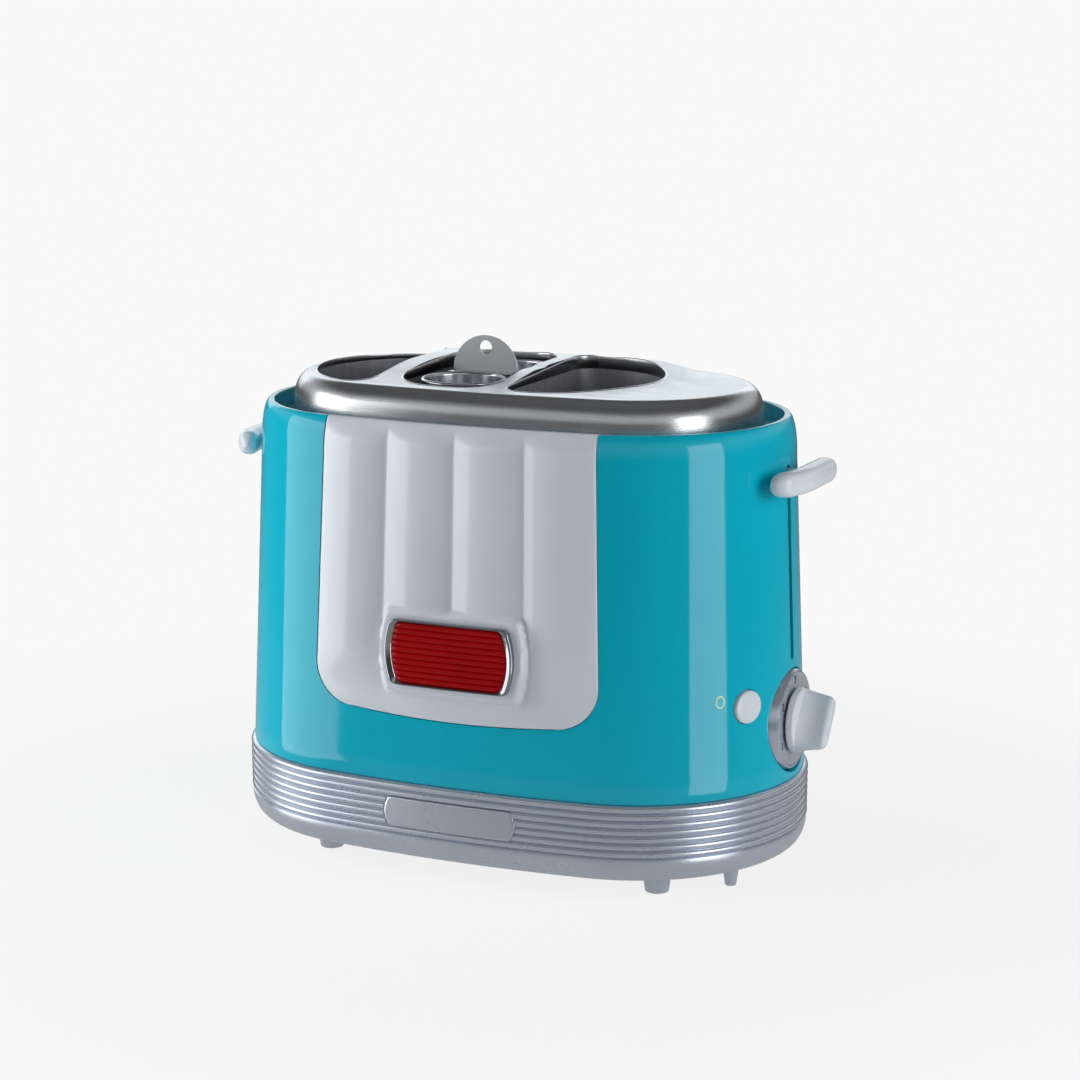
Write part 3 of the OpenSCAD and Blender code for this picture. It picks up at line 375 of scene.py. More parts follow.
def carve(piece, cutters, sharp=35):
    for cutter in cutters:
        cut = piece.modifiers.new(cutter.name, "BOOLEAN")
        cut.object, cut.operation, cut.solver = cutter, "DIFFERENCE", "EXACT"
    shaped = piece.evaluated_get(bpy.context.evaluated_depsgraph_get())
    mesh = bpy.data.meshes.new_from_object(shaped)
    piece.modifiers.clear()
    old, piece.data = piece.data, mesh
    bpy.data.meshes.remove(old)
    mesh.name = piece.name
    while len(mesh.materials) > 1:
        mesh.materials.pop()
    mesh.shade_smooth()
    mesh.set_sharp_from_angle(angle=radians(sharp))
    for cutter in cutters:
        bpy.data.objects.remove(cutter)
    return piece


def startRing(bm, points):
    ring = bmesh.ops.create_circle(bm, segments=len(points), radius=1)["verts"]
    for vert, point in zip(ring, points):
        vert.co = point
    return ring


def ringEdges(bm, ring):
    return [bm.edges.get((ring[i - 1], ring[i])) for i in range(len(ring))]


def nextRing(bm, ring, points):
    made = bmesh.ops.extrude_edge_only(bm, edges=ringEdges(bm, ring))["geom"]
    fresh = {g for g in made if isinstance(g, bmesh.types.BMVert)}
    grown = [next(e.other_vert(v) for e in v.link_edges if e.other_vert(v) in fresh) for v in ring]
    for vert, point in zip(grown, points):
        vert.co = point
    return grown


def swept(rings, join="close", bm=None):
    # skin over the rings; join closes it on itself, or caps its "start", its "end" or "both"
    bm = bmesh.new() if bm is None else bm
    ring = startRing(bm, rings[0])
    if join in ("start", "both"):
        bmesh.ops.edgeloop_fill(bm, edges=ringEdges(bm, ring))
    for points in rings[1:] + ([rings[0]] if join == "close" else []):
        ring = nextRing(bm, ring, points)
    if join in ("end", "both"):
        bmesh.ops.edgeloop_fill(bm, edges=ringEdges(bm, ring))
    return bm


def spun(profile, steps, matrix, bm=None):
    # profile is (radius, height); it turns about Z and is then placed by the matrix
    bm = bmesh.new() if bm is None else bm
    verts = [bm.verts.new((r, 0, h)) for r, h in profile]
    edges = [bm.edges.new(pair) for pair in zip(verts, verts[1:])]
    before = set(bm.verts) - set(verts)
    bmesh.ops.spin(bm, geom=verts + edges, cent=(0, 0, 0), axis=(0, 0, 1), angle=2 * pi,
                   steps=steps, use_merge=True)
    made = [v for v in bm.verts if v not in before]
    bmesh.ops.remove_doubles(bm, verts=made, dist=0.001)
    bmesh.ops.transform(bm, matrix=matrix, verts=[v for v in bm.verts if v not in before])
    return bm


def mergeInto(bm, other):
    mesh = bpy.data.meshes.new("part")
    other.to_mesh(mesh)
    other.free()
    bm.from_mesh(mesh)
    bpy.data.meshes.remove(mesh)


# what is drawn along Z is turned to point along X
onX = Matrix.Rotation(pi / 2, 4, "Y")

# plan of the toaster, by the angle of its outward normal
plan = {"halfLength": 139.0, "halfWidth": 85.4, "endRadius": 82.2}
endX = plan["halfLength"] - plan["endRadius"]
halfLength, halfWidth = plan["halfLength"], plan["halfWidth"]
sideRadius = (halfLength ** 2 - 2 * halfLength * plan["endRadius"] + halfWidth ** 2) / (
    2 * (halfWidth - plan["endRadius"]))
joinAngle = atan2(sideRadius - halfWidth, endX)


def ovalPoint(inset, angle):
    a = atan2(abs(sin(angle)), abs(cos(angle)))
    if a <= joinAngle:
        x, y = endX + (plan["endRadius"] - inset) * cos(a), (plan["endRadius"] - inset) * sin(a)
    else:
        x = (sideRadius - inset) * cos(a)
        y = plan["halfWidth"] - sideRadius + (sideRadius - inset) * sin(a)
    return copysign(x, cos(angle)), copysign(y, sin(angle))


def ovalAngles(endSteps=36, sideSteps=18):
    quarter = [joinAngle * i / endSteps for i in range(endSteps)]
    quarter += [joinAngle + (pi / 2 - joinAngle) * i / sideSteps for i in range(sideSteps)]
    back = [pi - a for a in reversed(quarter)]
    front = [pi + a for a in quarter[1:]]
    last = [2 * pi - a for a in reversed(quarter[1:])]
    return quarter + [pi / 2] + back + front + [3 * pi / 2] + last


angles = ovalAngles()


def ovalRing(inset, z):
    return [Vector((*ovalPoint(inset, a), z)) for a in angles]


def frontY(x, inset):
    # front of the plan at x, drawn in by inset
    joinX = (sideRadius - inset) * cos(joinAngle)
    if abs(x) <= joinX:
        return sideRadius - plan["halfWidth"] - sqrt((sideRadius - inset) ** 2 - x * x)
    return -sqrt(max(0.0, (plan["endRadius"] - inset) ** 2 - (abs(x) - endX) ** 2))


def smooth(t):
    t = max(0.0, min(1.0, t))
    return t * t * (3 - 2 * t)


def gridPiece(xs, rows):
    # a flat grid, and for each vertex the column and the row that it stands for
    bm = bmesh.new()
    bmesh.ops.create_grid(bm, x_segments=len(xs) - 1, y_segments=len(rows) - 1, size=1)
    columnOf = {round(x, 5): i for i, x in enumerate(sorted({round(v.co.x, 5) for v in bm.verts}))}
    rowOf = {round(y, 5): i for i, y in enumerate(sorted({round(v.co.y, 5) for v in bm.verts}))}
    assert len(columnOf) == len(xs) and len(rowOf) == len(rows)
    places = {v: (xs[columnOf[round(v.co.x, 5)]], rows[rowOf[round(v.co.y, 5)]]) for v in bm.verts}
    return bm, places


def thickGrid(xs, rows, front, back):
    # closed slab between two surfaces over the same grid
    bm, places = gridPiece(xs, rows)
    byPlace = {}
    for vert, place in places.items():
        byPlace[tuple(round(c, 6) for c in vert.co)] = place
    made = bmesh.ops.extrude_face_region(bm, geom=bm.faces[:], use_keep_orig=True)["geom"]
    moved = {g for g in made if isinstance(g, bmesh.types.BMVert)}
    for vert in bm.verts:
        place = byPlace[tuple(round(c, 6) for c in vert.co)]
        vert.co = back(*place) if vert in moved else front(*place)
    return bm


# teal shell
shell = {"seam": 46.0, "rim": 213.6, "lean": 6.6, "shoulder": 17.6, "shoulderIn": 4.4, "wall": 2.5,
         "lip": 2.0, "channelFloor": 204.0, "floorInset": 24.6,
         "slotHalf": 2.0, "slotLow": 102.0, "slotHigh": 193.8, "slotCut": (115, 150),
         "dialZ": 73.5, "dialHole": 24.65, "buttonZ": 87.4, "buttonAngle": -27.5, "buttonHole": 8.1}
shoulderZ = shell["rim"] - shell["shoulder"]


def shellInset(z):
    if z <= shoulderZ:
        return shell["lean"] * (z - shell["seam"]) / (shoulderZ - shell["seam"])
    s = min(1.0, (z - shoulderZ) / shell["shoulder"])
    return shell["lean"] + shell["shoulderIn"] * (1 - sqrt(1 - s * s))


rimInset = shellInset(shell["rim"])
shoulderLevels = [shoulderZ + shell["shoulder"] * sin(radians(a)) for a in range(6, 90, 6)]


def shellProfile():
    low = shell["seam"]
    outer = [(0.5, low), (0.15, low + 0.2), (shellInset(low + 0.7), low + 0.7)]
    outer += [(shellInset(z), z) for z in [low + 10 + 14 * i for i in range(10)] + [shoulderZ]]
    outer += [(shellInset(z), z) for z in shoulderLevels]
    top = shell["rim"]
    lipIn = rimInset + shell["lip"]
    outer += [(rimInset + 0.1, top), (lipIn - 0.8, top), (lipIn - 0.25, top - 0.25), (lipIn, top - 0.8)]
    floor = shell["channelFloor"]
    outer += [(lipIn, floor + 1.2), (lipIn + 0.4, floor + 0.35), (lipIn + 1.3, floor),
              (shell["floorInset"], floor)]
    wall = shell["wall"]
    outer += [(shell["floorInset"], floor - 2.4), (shellInset(shoulderZ) + wall + 0.3, floor - 2.4),
              (wall + 0.1, low)]
    return outer


def prismAcross(points, y0, y1, name):
    # prism of an outline drawn in X and Z, from y0 to y1
    return cutterPiece(swept([[Vector((x, y, z)) for x, z in points] for y in (y0, y1)], "both"), name)


def roundedSlot(half, low, high):
    outline = []
    for centre, start in ((high - half, 0), (low + half, 180)):
        for a in range(start, start + 181, 20):
            outline.append((half * cos(radians(a)), centre + half * sin(radians(a))))
    return outline


def slotPrism(side):
    outline = roundedSlot(shell["slotHalf"], shell["slotLow"], shell["slotHigh"])
    rings = [[Vector((side * x, y, z)) for y, z in outline] for x in shell["slotCut"]]
    return cutterPiece(swept(rings, "both"), "slotCutter")


def drill(radius, matrix, name, length=40):
    return cutterPiece(spun([(0, 0), (radius, 0), (radius, length), (0, length)], 96, matrix), name)


buttonTurn = radians(shell["buttonAngle"])


def alongEnd(angle, radial, z):
    # frame whose Z axis points out of the right end at that angle
    turn = Matrix.Rotation(angle, 4, "Z") @ onX
    return Matrix.Translation((endX + radial * cos(angle), radial * sin(angle), z)) @ turn


panel = {"halfWidth": 72.0, "bottom": 76.8, "corner": 20.0, "taper": 0.028, "sag": 2.3, "flutes": 4,
         "fluteHeight": 3.0, "thickness": 2.6, "edge": 0.9, "columns": 128,
         "padWidth": 74.0, "padHeight": 39.0, "padBulge": 4.0, "padProud": 4.4, "padBlend": 2.6,
         "sagFade": 60.0, "fluteLow": 5.0, "fluteRise": 30.0, "fluteFall": 9.0,
         "badgeX": 1.2, "badgeZ": 109.0}


def panelHalf(z, grow=0.0):
    r, top = panel["corner"] + grow, shell["rim"]
    bottom, half = panel["bottom"] - grow, panel["halfWidth"] + grow
    if z < bottom + r:
        return half - r + sqrt(max(0.0, r * r - (bottom + r - z) ** 2))
    return half - (z - bottom - r) / (top - bottom - r) * (top - bottom) * panel["taper"]


def panelZ(u, z):
    # the lower edge sags a little towards the middle
    return z + panel["sag"] * u * u * smooth(1 - (z - panel["bottom"]) / panel["sagFade"])


def barrelGap(x, z, w, h, bulge):
    # how far inside (positive) a barrel outline the point lies
    r = (h * h / 4 + bulge * bulge) / (2 * bulge)
    side = r - hypot(abs(x) - (w / 2 - r), z) if abs(x) > w / 2 - r else w
    return min(side, h / 2 - abs(z))


def panelProud(x, z, u):
    t = ((u + 1) * panel["flutes"] / 2) % 1.0
    swell = panel["fluteHeight"] * (1 - (2 * t - 1) ** 2)
    swell *= smooth((z - panel["bottom"] - panel["fluteLow"]) / panel["fluteRise"])
    swell *= smooth((shell["rim"] - z) / panel["fluteFall"])
    inside = barrelGap(x - panel["badgeX"], z - panel["badgeZ"], panel["padWidth"], panel["padHeight"],
                       panel["padBulge"])
    mask = smooth(inside / panel["padBlend"] + 0.5)
    return swell * (1 - mask) + panel["padProud"] * mask


def panelEdge(x, z, u):
    # rounds the panel's rim off towards the seam
    reach = panelHalf(z) - abs(x)
    if abs(x) < panel["halfWidth"] - panel["corner"]:
        reach = min(reach, z - panel["bottom"])
    reach = max(0.0, reach)
    e = panel["edge"]
    return 0.0 if reach >= e else e - sqrt(max(0.0, e * e - (e - reach) ** 2))


def panelRows():
    # close rows at the lower edge and behind the badge, wide ones up to the shoulder
    bottom, padTop, fine, wide = panel["bottom"], 133, 1.2, 7
    rows = [bottom + d for d in (0, 0.12, 0.35, 0.7, 1.2, 2.0, 3.2, 4.6, 6.2, 8.0, 10.0)]
    z = bottom + 11.4
    while z < padTop:
        rows.append(z)
        z += fine
    rows += [padTop + wide * i for i in range(9)] + [shoulderZ]
    rows += shoulderLevels + [shell["rim"] - 0.02]
    return rows


def panelColumns():
    count, half = panel["columns"], panel["halfWidth"]
    edges = [d / half for d in (0, 0.12, 0.35, 0.7)]
    inner = [-1 + 2 * i / count for i in range(1, count)]
    return [-1 + e for e in edges] + inner + [1 - e for e in reversed(edges)]


def panelFront(u, z):
    # u runs across the panel from -1 to 1
    x = u * panelHalf(z)
    zz = panelZ(u, z)
    inset = shellInset(min(zz, shell["rim"])) - panelProud(x, zz, u) + panelEdge(x, z, u)
    return Vector((x, frontY(x, inset), zz))


def panelBack(u, z):
    x = u * panelHalf(z)
    zz = panelZ(u, z)
    inset = shellInset(min(zz, shell["rim"])) + panel["thickness"]
    if zz > shell["channelFloor"] - 2.5:
        inset = rimInset + shell["lip"]
    return Vector((x, frontY(x, inset), zz))


def windowCutter(grow=0.25):
    rows = [panel["bottom"] - grow + d for d in (0, 0.6, 1.6, 3, 5, 8, 12, 16, 20.3, 30, 45, 60)]
    rows += [150, 175, shoulderZ, 205, shell["rim"] + 2]
    columns = [-1 + 2 * i / 48 for i in range(49)]

    def wall(inset):
        def point(u, z):
            x = u * panelHalf(min(z, shell["rim"]), grow)
            return Vector((x, frontY(x, inset), panelZ(u, z)))
        return point

    bm = thickGrid(columns, rows, wall(-8), wall(rimInset + shell["lip"] + 0.3))
    return cutterPiece(bm, "windowCutter")


def makeShell():
    bm = swept([ovalRing(i, z) for i, z in shellProfile()])
    piece = finishPiece(bm, "bodyShell", "housing", "teal_shell")
    dialPlace = Matrix.Translation((115, 0, shell["dialZ"])) @ onX
    buttonPlace = alongEnd(buttonTurn, 60, shell["buttonZ"])
    carve(piece, [windowCutter(), slotPrism(1), slotPrism(-1),
                  drill(shell["dialHole"], dialPlace, "dialDrill"),
                  drill(shell["buttonHole"], buttonPlace, "buttonDrill")])
    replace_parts(piece, "body_shell")


def makePanel():
    bm = thickGrid(panelColumns(), panelRows(), panelFront, panelBack)
    piece = finishPiece(bm, "frontPanel", "housing", "white_gloss", sharp=50)
    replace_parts(piece, "front_panel")


makeShell()
makePanel()
print("toaster: shell and front panel made")

# badge
badge = {"width": 65.0, "height": 31.0, "bulge": 3.2, "endRim": 3.4, "sideRim": 1.3, "corner": 3.0,
         "proud": 2.4, "sunk": 0.8, "ribs": 10, "ribHeight": 0.75, "lensProud": 1.0, "lensSunk": 0.5,
         "lensGap": 0.05, "lensCorner": 2.2, "cornerFrom": 0.78}


def barrelRing(w, h, bulge, corner, across=24, cornerSteps=5, endSteps=12):
    # points round a barrel outline centred on (0, 0)
    r = (h * h / 4 + bulge * bulge) / (2 * bulge)
    startX = w / 2 - bulge - corner
    endZ = h / 2 - corner
    sideX = w / 2 - r + sqrt(r * r - endZ * endZ)
    quarter = [(startX * i / (across / 2), h / 2) for i in range(int(across / 2))]
    for i in range(cornerSteps):
        a = pi / 2 * i / cornerSteps
        quarter.append((startX + (sideX - startX) * sin(a), endZ + corner * cos(a)))
    for i in range(int(endSteps / 2)):
        z = endZ * (1 - i / (endSteps / 2))
        quarter.append((w / 2 - r + sqrt(r * r - z * z), z))
    right = quarter + [(w / 2, 0)] + [(x, -z) for x, z in reversed(quarter)]
    left = [(-x, z) for x, z in reversed(right)][1:-1]
    return right + left


def onPad(points, proud):
    base = shellInset(panel["badgeZ"]) - panel["padProud"]
    return [Vector((x + panel["badgeX"], frontY(x + panel["badgeX"], base - proud), z + panel["badgeZ"]))
            for x, z in points]


def makeBadge():
    w, h, bulge, corner = badge["width"], badge["height"], badge["bulge"], badge["corner"]
    proud, sunk = badge["proud"], -badge["sunk"]
    inW, inH = w - 2 * badge["endRim"], h - 2 * badge["sideRim"]
    # the frame's section: width, height and how proud of the pad
    section = [(w, h, sunk), (w, h, proud - 0.7), (w - 0.3, h - 0.3, proud - 0.25),
               (w - 1.1, h - 0.9, proud), (w - 2.6, h - 1.3, proud - 0.1),
               (inW + 1.4, inH + 0.7, proud - 0.75), (inW + 0.3, inH + 0.2, proud - 1.1),
               (inW, inH, proud - 1.6), (inW, inH, sunk)]
    bm = swept([onPad(barrelRing(a, b, bulge, corner), c) for a, b, c in section])
    piece = finishPiece(bm, "badgeFrame", "housing", "badge_chrome", sharp=50)
    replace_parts(piece, "badge_frame")

    rows = [-1 + 2 * i / (badge["ribs"] * 8) for i in range(badge["ribs"] * 8 + 1)]
    columns = [-1 + 2 * i / 36 for i in range(37)]
    halfH = inH / 2 - badge["lensGap"]
    r = (inH * inH / 4 + bulge * bulge) / (2 * bulge)

    def lensPoint(u, v, lift):
        z = v * halfH
        half = inW / 2 - r + sqrt(r * r - z * z) - badge["lensGap"]
        turned = max(0.0, abs(v) - badge["cornerFrom"]) / (1 - badge["cornerFrom"])
        x = u * (half - badge["lensCorner"] * (1 - sqrt(max(0.0, 1 - turned * turned))))
        return onPad([(x, z)], lift)[0]

    def front(u, v):
        rib = abs(sin(pi * badge["ribs"] * (v + 1) / 2)) ** 0.8
        fade = smooth((1 - abs(u)) / 0.03) * 0.6 + 0.4
        return lensPoint(u, v, badge["lensProud"] + badge["ribHeight"] * rib * fade)

    bm = thickGrid(columns, rows, front, lambda u, v: lensPoint(u, v, -badge["lensSunk"]))
    piece = finishPiece(bm, "badgeLens", "housing", "badge_red", sharp=40)
    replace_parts(piece, "badge_lens")


makeBadge()
print("toaster: badge made")

# silver base
base = {"under": 8.8, "bandTop": 21.0, "top": 45.7, "ribs": 7, "proud": 1.8, "depth": 1.5, "bandIn": 7.5,
        "wall": 2.6, "flangeInset": 36.0,
        "nameWidth": 67.4, "nameHeight": 14.4, "nameZ": 31.4, "nameBulge": 2.4, "nameCorner": 1.5,
        "trayLeft": -97.5, "trayRight": 73.5, "trayLow": 22.6, "trayHigh": 42.7, "trayGap": 0.3}


def skirtProfile():
    proud, under = base["proud"], base["under"]
    bandInset = 0.4 - proud
    levels = [(base["flangeInset"], under), (12, under)]
    for i in range(0, 11):
        a = radians(9 * i)
        levels.append((bandInset + base["bandIn"] * (1 - sin(a)),
                       under + (base["bandTop"] - under - 1.2) * (1 - cos(a))))
    levels.append((bandInset + 0.05, base["bandTop"] - 0.6))
    pitch = (base["top"] - base["bandTop"]) / base["ribs"]
    for k in range(base["ribs"]):
        z = base["bandTop"] + k * pitch
        levels.append((base["depth"] - proud, z))
        for i in range(1, 8):
            s = i / 8
            levels.append((base["depth"] * (1 - sin(pi * s) ** 0.6) - proud, z + s * pitch))
    levels += [(base["depth"] - proud, base["top"]), (base["depth"] - proud + 0.6, base["top"] + 0.15)]
    inner = base["depth"] - proud + base["wall"]
    levels += [(inner, base["top"] + 0.15), (inner, base["bandTop"] + 2),
               (base["bandIn"] + base["wall"], under + 2.2), (base["flangeInset"], under + 2.2)]
    return levels


# feet and pegs stand in pairs, one in front and one at the back: (x, half the distance, radius)
feet = {"pairs": [(-77, 57, 5.6), (92, 55, 5.6), (120, 33, 2.7)], "flare": 1.6, "lift": 0.02}


def addFoot(bm, x, y, r):
    top, flare = base["under"] + 1.2, feet["flare"]
    profile = [(0, 0), (r - 0.6, 0), (r - 0.15, 0.2), (r, 0.7), (r + flare * 0.6, top * 0.75),
               (r + flare, top), (0, top)]
    spun(profile, 40, Matrix.Translation((x, y, feet["lift"])), bm)


def makeBase():
    bm = swept([ovalRing(i, z) for i, z in skirtProfile()])
    piece = finishPiece(bm, "baseSkirt", "housing", "silver_paint", sharp=40)
    recess = barrelRing(base["nameWidth"], base["nameHeight"], base["nameBulge"], base["nameCorner"])
    nameCut = prismAcross([(x, z + base["nameZ"]) for x, z in recess], -100, -84.4, "nameCutter")
    left, right, low, high = base["trayLeft"], base["trayRight"], base["trayLow"], base["trayHigh"]
    trayCut = prismAcross([(left, low), (right, low), (right, high), (left, high)], 60, 100, "trayCutter")
    carve(piece, [nameCut, trayCut], sharp=40)
    bm = bmesh.new()
    bm.from_mesh(piece.data)
    bmesh.ops.scale(bm, vec=(1 / mm,) * 3, verts=bm.verts)
    for x, half, r in feet["pairs"]:
        addFoot(bm, x, -half, r)
        addFoot(bm, x, half, r)
    bmesh.ops.scale(bm, vec=(mm,) * 3, verts=bm.verts)
    bm.to_mesh(piece.data)
    bm.free()
    piece.data.shade_smooth()
    piece.data.set_sharp_from_angle(angle=radians(40))
    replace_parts(piece, "base_skirt")


def makeNamePlate():
    w, h, z0 = base["nameWidth"] - 0.4, base["nameHeight"] - 0.4, base["nameZ"]
    proud, bulge = base["proud"], base["nameBulge"]

    def ring(inset, grow):
        outline = barrelRing(w + grow, h + grow, bulge, base["nameCorner"], 36)
        return [Vector((x, frontY(x, inset), z + z0)) for x, z in outline]

    section = [(1.2 - proud + 0.5, 0), (0.55 - proud, 0), (0.3 - proud, -0.5), (0.26 - proud, -2.0)]
    bm = swept([ring(inset, grow) for inset, grow in section], "start")
    # the face is a grid of its own, so it can follow the curve
    columns = [-1 + 2 * i / 40 for i in range(41)]
    rows = [-1, -0.5, 0, 0.5, 1]
    r = (h * h / 4 + bulge ** 2) / (2 * bulge)

    def face(u, v):
        z = v * (h / 2 - 1.02)
        x = u * ((w - 2.0) / 2 - r + sqrt(r * r - z * z))
        return Vector((x, frontY(x, 0.26 - proud), z + z0))

    grid, places = gridPiece(columns, rows)
    for vert, place in places.items():
        vert.co = face(*place)
    mergeInto(bm, grid)
    piece = finishPiece(bm, "namePlate", "housing", "silver_paint", sharp=50)
    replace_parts(piece, "name_plate")


makeBase()
makeNamePlate()
print("toaster: base made")

# steel top
top = {"side": 21.5, "floorZ": 204.3, "edgeZ": 214.5, "plateZ": 226.6, "plateInset": 30.5, "edgeIn": 8.4,
       "sheet": 0.9, "rimHigh": 5.0, "riseFrom": -55.0, "riseTo": 5.0, "fadeFrom": 45.0, "fadeTo": 85.0,
       "blend": 9.0, "bead": 0.2, "innermost": 78.0, "wideFrom": 44.0}
well = {"half": 47.0, "corner": 10.0, "leftX": -61.0, "leftWide": 44.0, "rightX": 9.0, "rightWide": 59.0,
        "sausageLeft": -50.0, "sausageRight": 2.0, "cornerLeft": 24.0, "cornerRight": 18.0,
        "chuteLow": 192.3, "chuteTop": 1.35, "sheet": 0.8}


def wellArcs(kind):
    # arcs (centre x, centre y, radius, from, to, steps) round a well, counter-clockwise
    c, b = well["corner"], well["half"]
    if kind == "sausage":
        x0, x1, l, r = (well[k] for k in ("sausageLeft", "sausageRight", "cornerLeft", "cornerRight"))
        return [(x1 - r, b - r, r, 0, 90, 16), (x0 + l, b - l, l, 90, 180, 18),
                (x0 + l, l - b, l, 180, 270, 18), (x1 - r, r - b, r, 270, 360, 16)]
    x, w = well[kind + "X"], well[kind + "Wide"]
    u = (w * w - 2 * w * c - (b - c) ** 2) / (2 * (w - 2 * c))
    a = degrees(atan2(b - c, c - u))
    arcs = [(u, 0, w - u, -a, a, 40), (c, b - c, c, a, 180, 10), (c, c - b, c, 180, 360 - a, 10)]
    if kind == "right":
        return [(x + cx, cy, r, a0, a1, n) for cx, cy, r, a0, a1, n in arcs]
    return [(x - cx, cy, r, 180 - a0, 180 - a1, n) for cx, cy, r, a0, a1, n in arcs]


def wellRing(kind, grow, height):
    ring = []
    for cx, cy, r, a0, a1, n in wellArcs(kind):
        for i in range(n + 1):
            a = radians(a0 + (a1 - a0) * i / n)
            p = (cx + (r + grow) * cos(a), cy + (r + grow) * sin(a))
            if not ring or dist(p, ring[-1][:2]) > 0.05:
                ring.append(p)
    if dist(ring[0], ring[-1]) < 0.05:
        ring.pop()
    z = height if callable(height) else (lambda x, y: height)
    return [Vector((x, y, z(x, y))) for x, y in ring]


def plateInset(x, y):
    # how far in from the edge of the plan the point lies
    if abs(x) > endX:
        return plan["endRadius"] - hypot(abs(x) - endX, y)
    return sideRadius - hypot(x, abs(y) + sideRadius - plan["halfWidth"])


def plateRise(x, y):
    # the plate swells up from its front edge and stays high round the backs of the wells
    swell = smooth((y - top["riseFrom"]) / (top["riseTo"] - top["riseFrom"]))
    right = 1 - smooth((x - top["fadeFrom"]) / (top["fadeTo"] - top["fadeFrom"]))
    return top["rimHigh"] * swell * right * smooth((plateInset(x, y) - top["plateInset"]) / top["blend"])


def rimTop(drop):
    return lambda x, y: top["plateZ"] + top["bead"] + plateRise(x, y) - drop


def plateRings(levels, drop):
    # the collar's levels, then the plate as ovals drawn further and further in
    rings = [ovalRing(i, z) for i, z in levels]
    inset, plate = levels[-1][0] + 0.4, top["plateZ"] - drop
    while inset < top["innermost"]:
        rings.append([Vector((p.x, p.y, plate + plateRise(p.x, p.y))) for p in ovalRing(inset, 0)])
        inset += 1.5 if inset < top["wideFrom"] else 3.0
    return rings


def makeTopCap():
    side, edgeIn, edgeZ, sheet = (top[k] for k in ("side", "edgeIn", "edgeZ", "sheet"))
    edgeHigh = top["plateZ"] - edgeZ
    levels = [(side, top["floorZ"]), (side + 0.5, edgeZ - 4)]
    for i in range(0, 13):
        a = radians(7.5 * i)
        levels.append((side + 1 + (edgeIn - 0.4) * (1 - cos(a)), edgeZ + edgeHigh * sin(a)))
    inner = [(min(i + sheet, side + 1 + edgeIn), z - (sheet if z > edgeZ else 0)) for i, z in levels]
    bm = swept(plateRings(levels, 0), "end")
    mergeInto(bm, swept(plateRings(inner, sheet), "end"))
    bmesh.ops.bridge_loops(bm, edges=[e for e in bm.edges if e.is_boundary])
    piece = finishPiece(bm, "topCap", "housing", "brushed_top", sharp=28)
    cutters = []
    for kind in ("left", "sausage", "right"):
        hole = swept([wellRing(kind, 0.3, 215), wellRing(kind, 0.3, 240)], "both")
        cutters.append(cutterPiece(hole, "wellCutter"))
    carve(piece, cutters, sharp=28)
    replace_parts(piece, "top_cap")
    # the plate's upward faces get a lighter, rougher copy of the collar's steel; the lighter tone is painted
    # light from above
    piece.data.materials.append(plateTopPaintedLight)
    for face in piece.data.polygons:
        if face.normal.z > 0.3 and face.center.z > (top["plateZ"] - 0.03) * mm:
            face.material_index = 1


def makeWell(kind, name):
    # a rim that follows the swell of the plate, then the chute below it; both are sections of (grow, height)
    plate = top["plateZ"]
    section = [(grow, rimTop(drop)) for grow, drop in (
        (1.5, 0.4), (1.1, 0.15), (0.95, 0.07), (0.75, 0), (0.35, 0), (0.12, 0.15), (0.0, 0.6))]
    section += [(0.0, plate - 1.3), (0.4, plate - 1.6), (1.2, plate - 1.6)]
    bm = swept([wellRing(kind, grow, height) for grow, height in section])
    finishPiece(bm, name + "Rim", "housing", "brushed_top", sharp=60)
    low, high, inside = well["chuteLow"], plate - well["chuteTop"], 0.2
    outside = inside + well["sheet"]
    section = [(inside + 0.05, high), (inside, high - 3), (inside, low + 20), (inside, low),
               (outside, low), (outside, high)]
    bm = swept([wellRing(kind, grow, height) for grow, height in section])
    return finishPiece(bm, name, "housing", "polished_steel", chuteSteel, sharp=50)


makeTopCap()
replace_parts(makeWell("left", "leftBunChute"), "left_bun_chute")
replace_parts(makeWell("sausage", "sausageChute"), "sausage_chute")
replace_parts(makeWell("right", "rightBunChute"), "right_bun_chute")
print("toaster: steel top made")

# sausage cage
cage = {"x": -20.5, "pitch": 49.0, "outer": 19.5, "wall": 1.0, "low": 131.5, "high": 228.0, "bead": 0.85,
        "bridge": 7.0, "bridgeThick": 0.9, "bridgeDish": 2.2, "tab": 17.0, "tabThick": 1.2, "hole": 3.4,
        "holeZ": 11.2, "windows": 4, "windowHalf": 5.0, "windowLow": 144.0, "windowHigh": 188.0,
        "wire": 1.0}


def tubePlace(side, z=0):
    return Matrix.Translation((cage["x"], side * cage["pitch"] / 2, z))


def tubeWindow(side, turn):
    outline = roundedSlot(cage["windowHalf"], cage["windowLow"], cage["windowHigh"])
    hole = swept([[Vector((d, y, z)) for y, z in outline] for d in (12, 24)], "both")
    place = tubePlace(side) @ Matrix.Rotation(turn, 4, "Z")
    bmesh.ops.transform(hole, matrix=place, verts=hole.verts)
    return cutterPiece(hole, "cageWindow")


def makeTubes():
    r, low, high, bead = cage["outer"], cage["low"], cage["high"], cage["bead"]
    inner = r - cage["wall"]
    rim = [(r + bead * sin(radians(a)) - 0.1, high - bead + bead * cos(radians(a)))
           for a in range(0, 181, 30)]
    profile = [(inner, low), (inner, high - 1.4), (inner + 0.1, high - 0.7), (r - 0.5, high - 0.05)]
    profile += rim + [(r, high - 2.2), (r, low), (inner, low)]
    bm = bmesh.new()
    for side in (-1, 1):
        spun(profile, 96, tubePlace(side), bm)
    tubes = finishPiece(bm, "sausageCage", "cage", "polished_steel", sharp=45)
    turns = [radians(45 + 360 / cage["windows"] * k) for k in range(cage["windows"])]
    carve(tubes, [tubeWindow(side, turn) for side in (-1, 1) for turn in turns], sharp=45)
    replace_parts(tubes, "front_cage_tube", "rear_cage_tube", "cage_bridges")


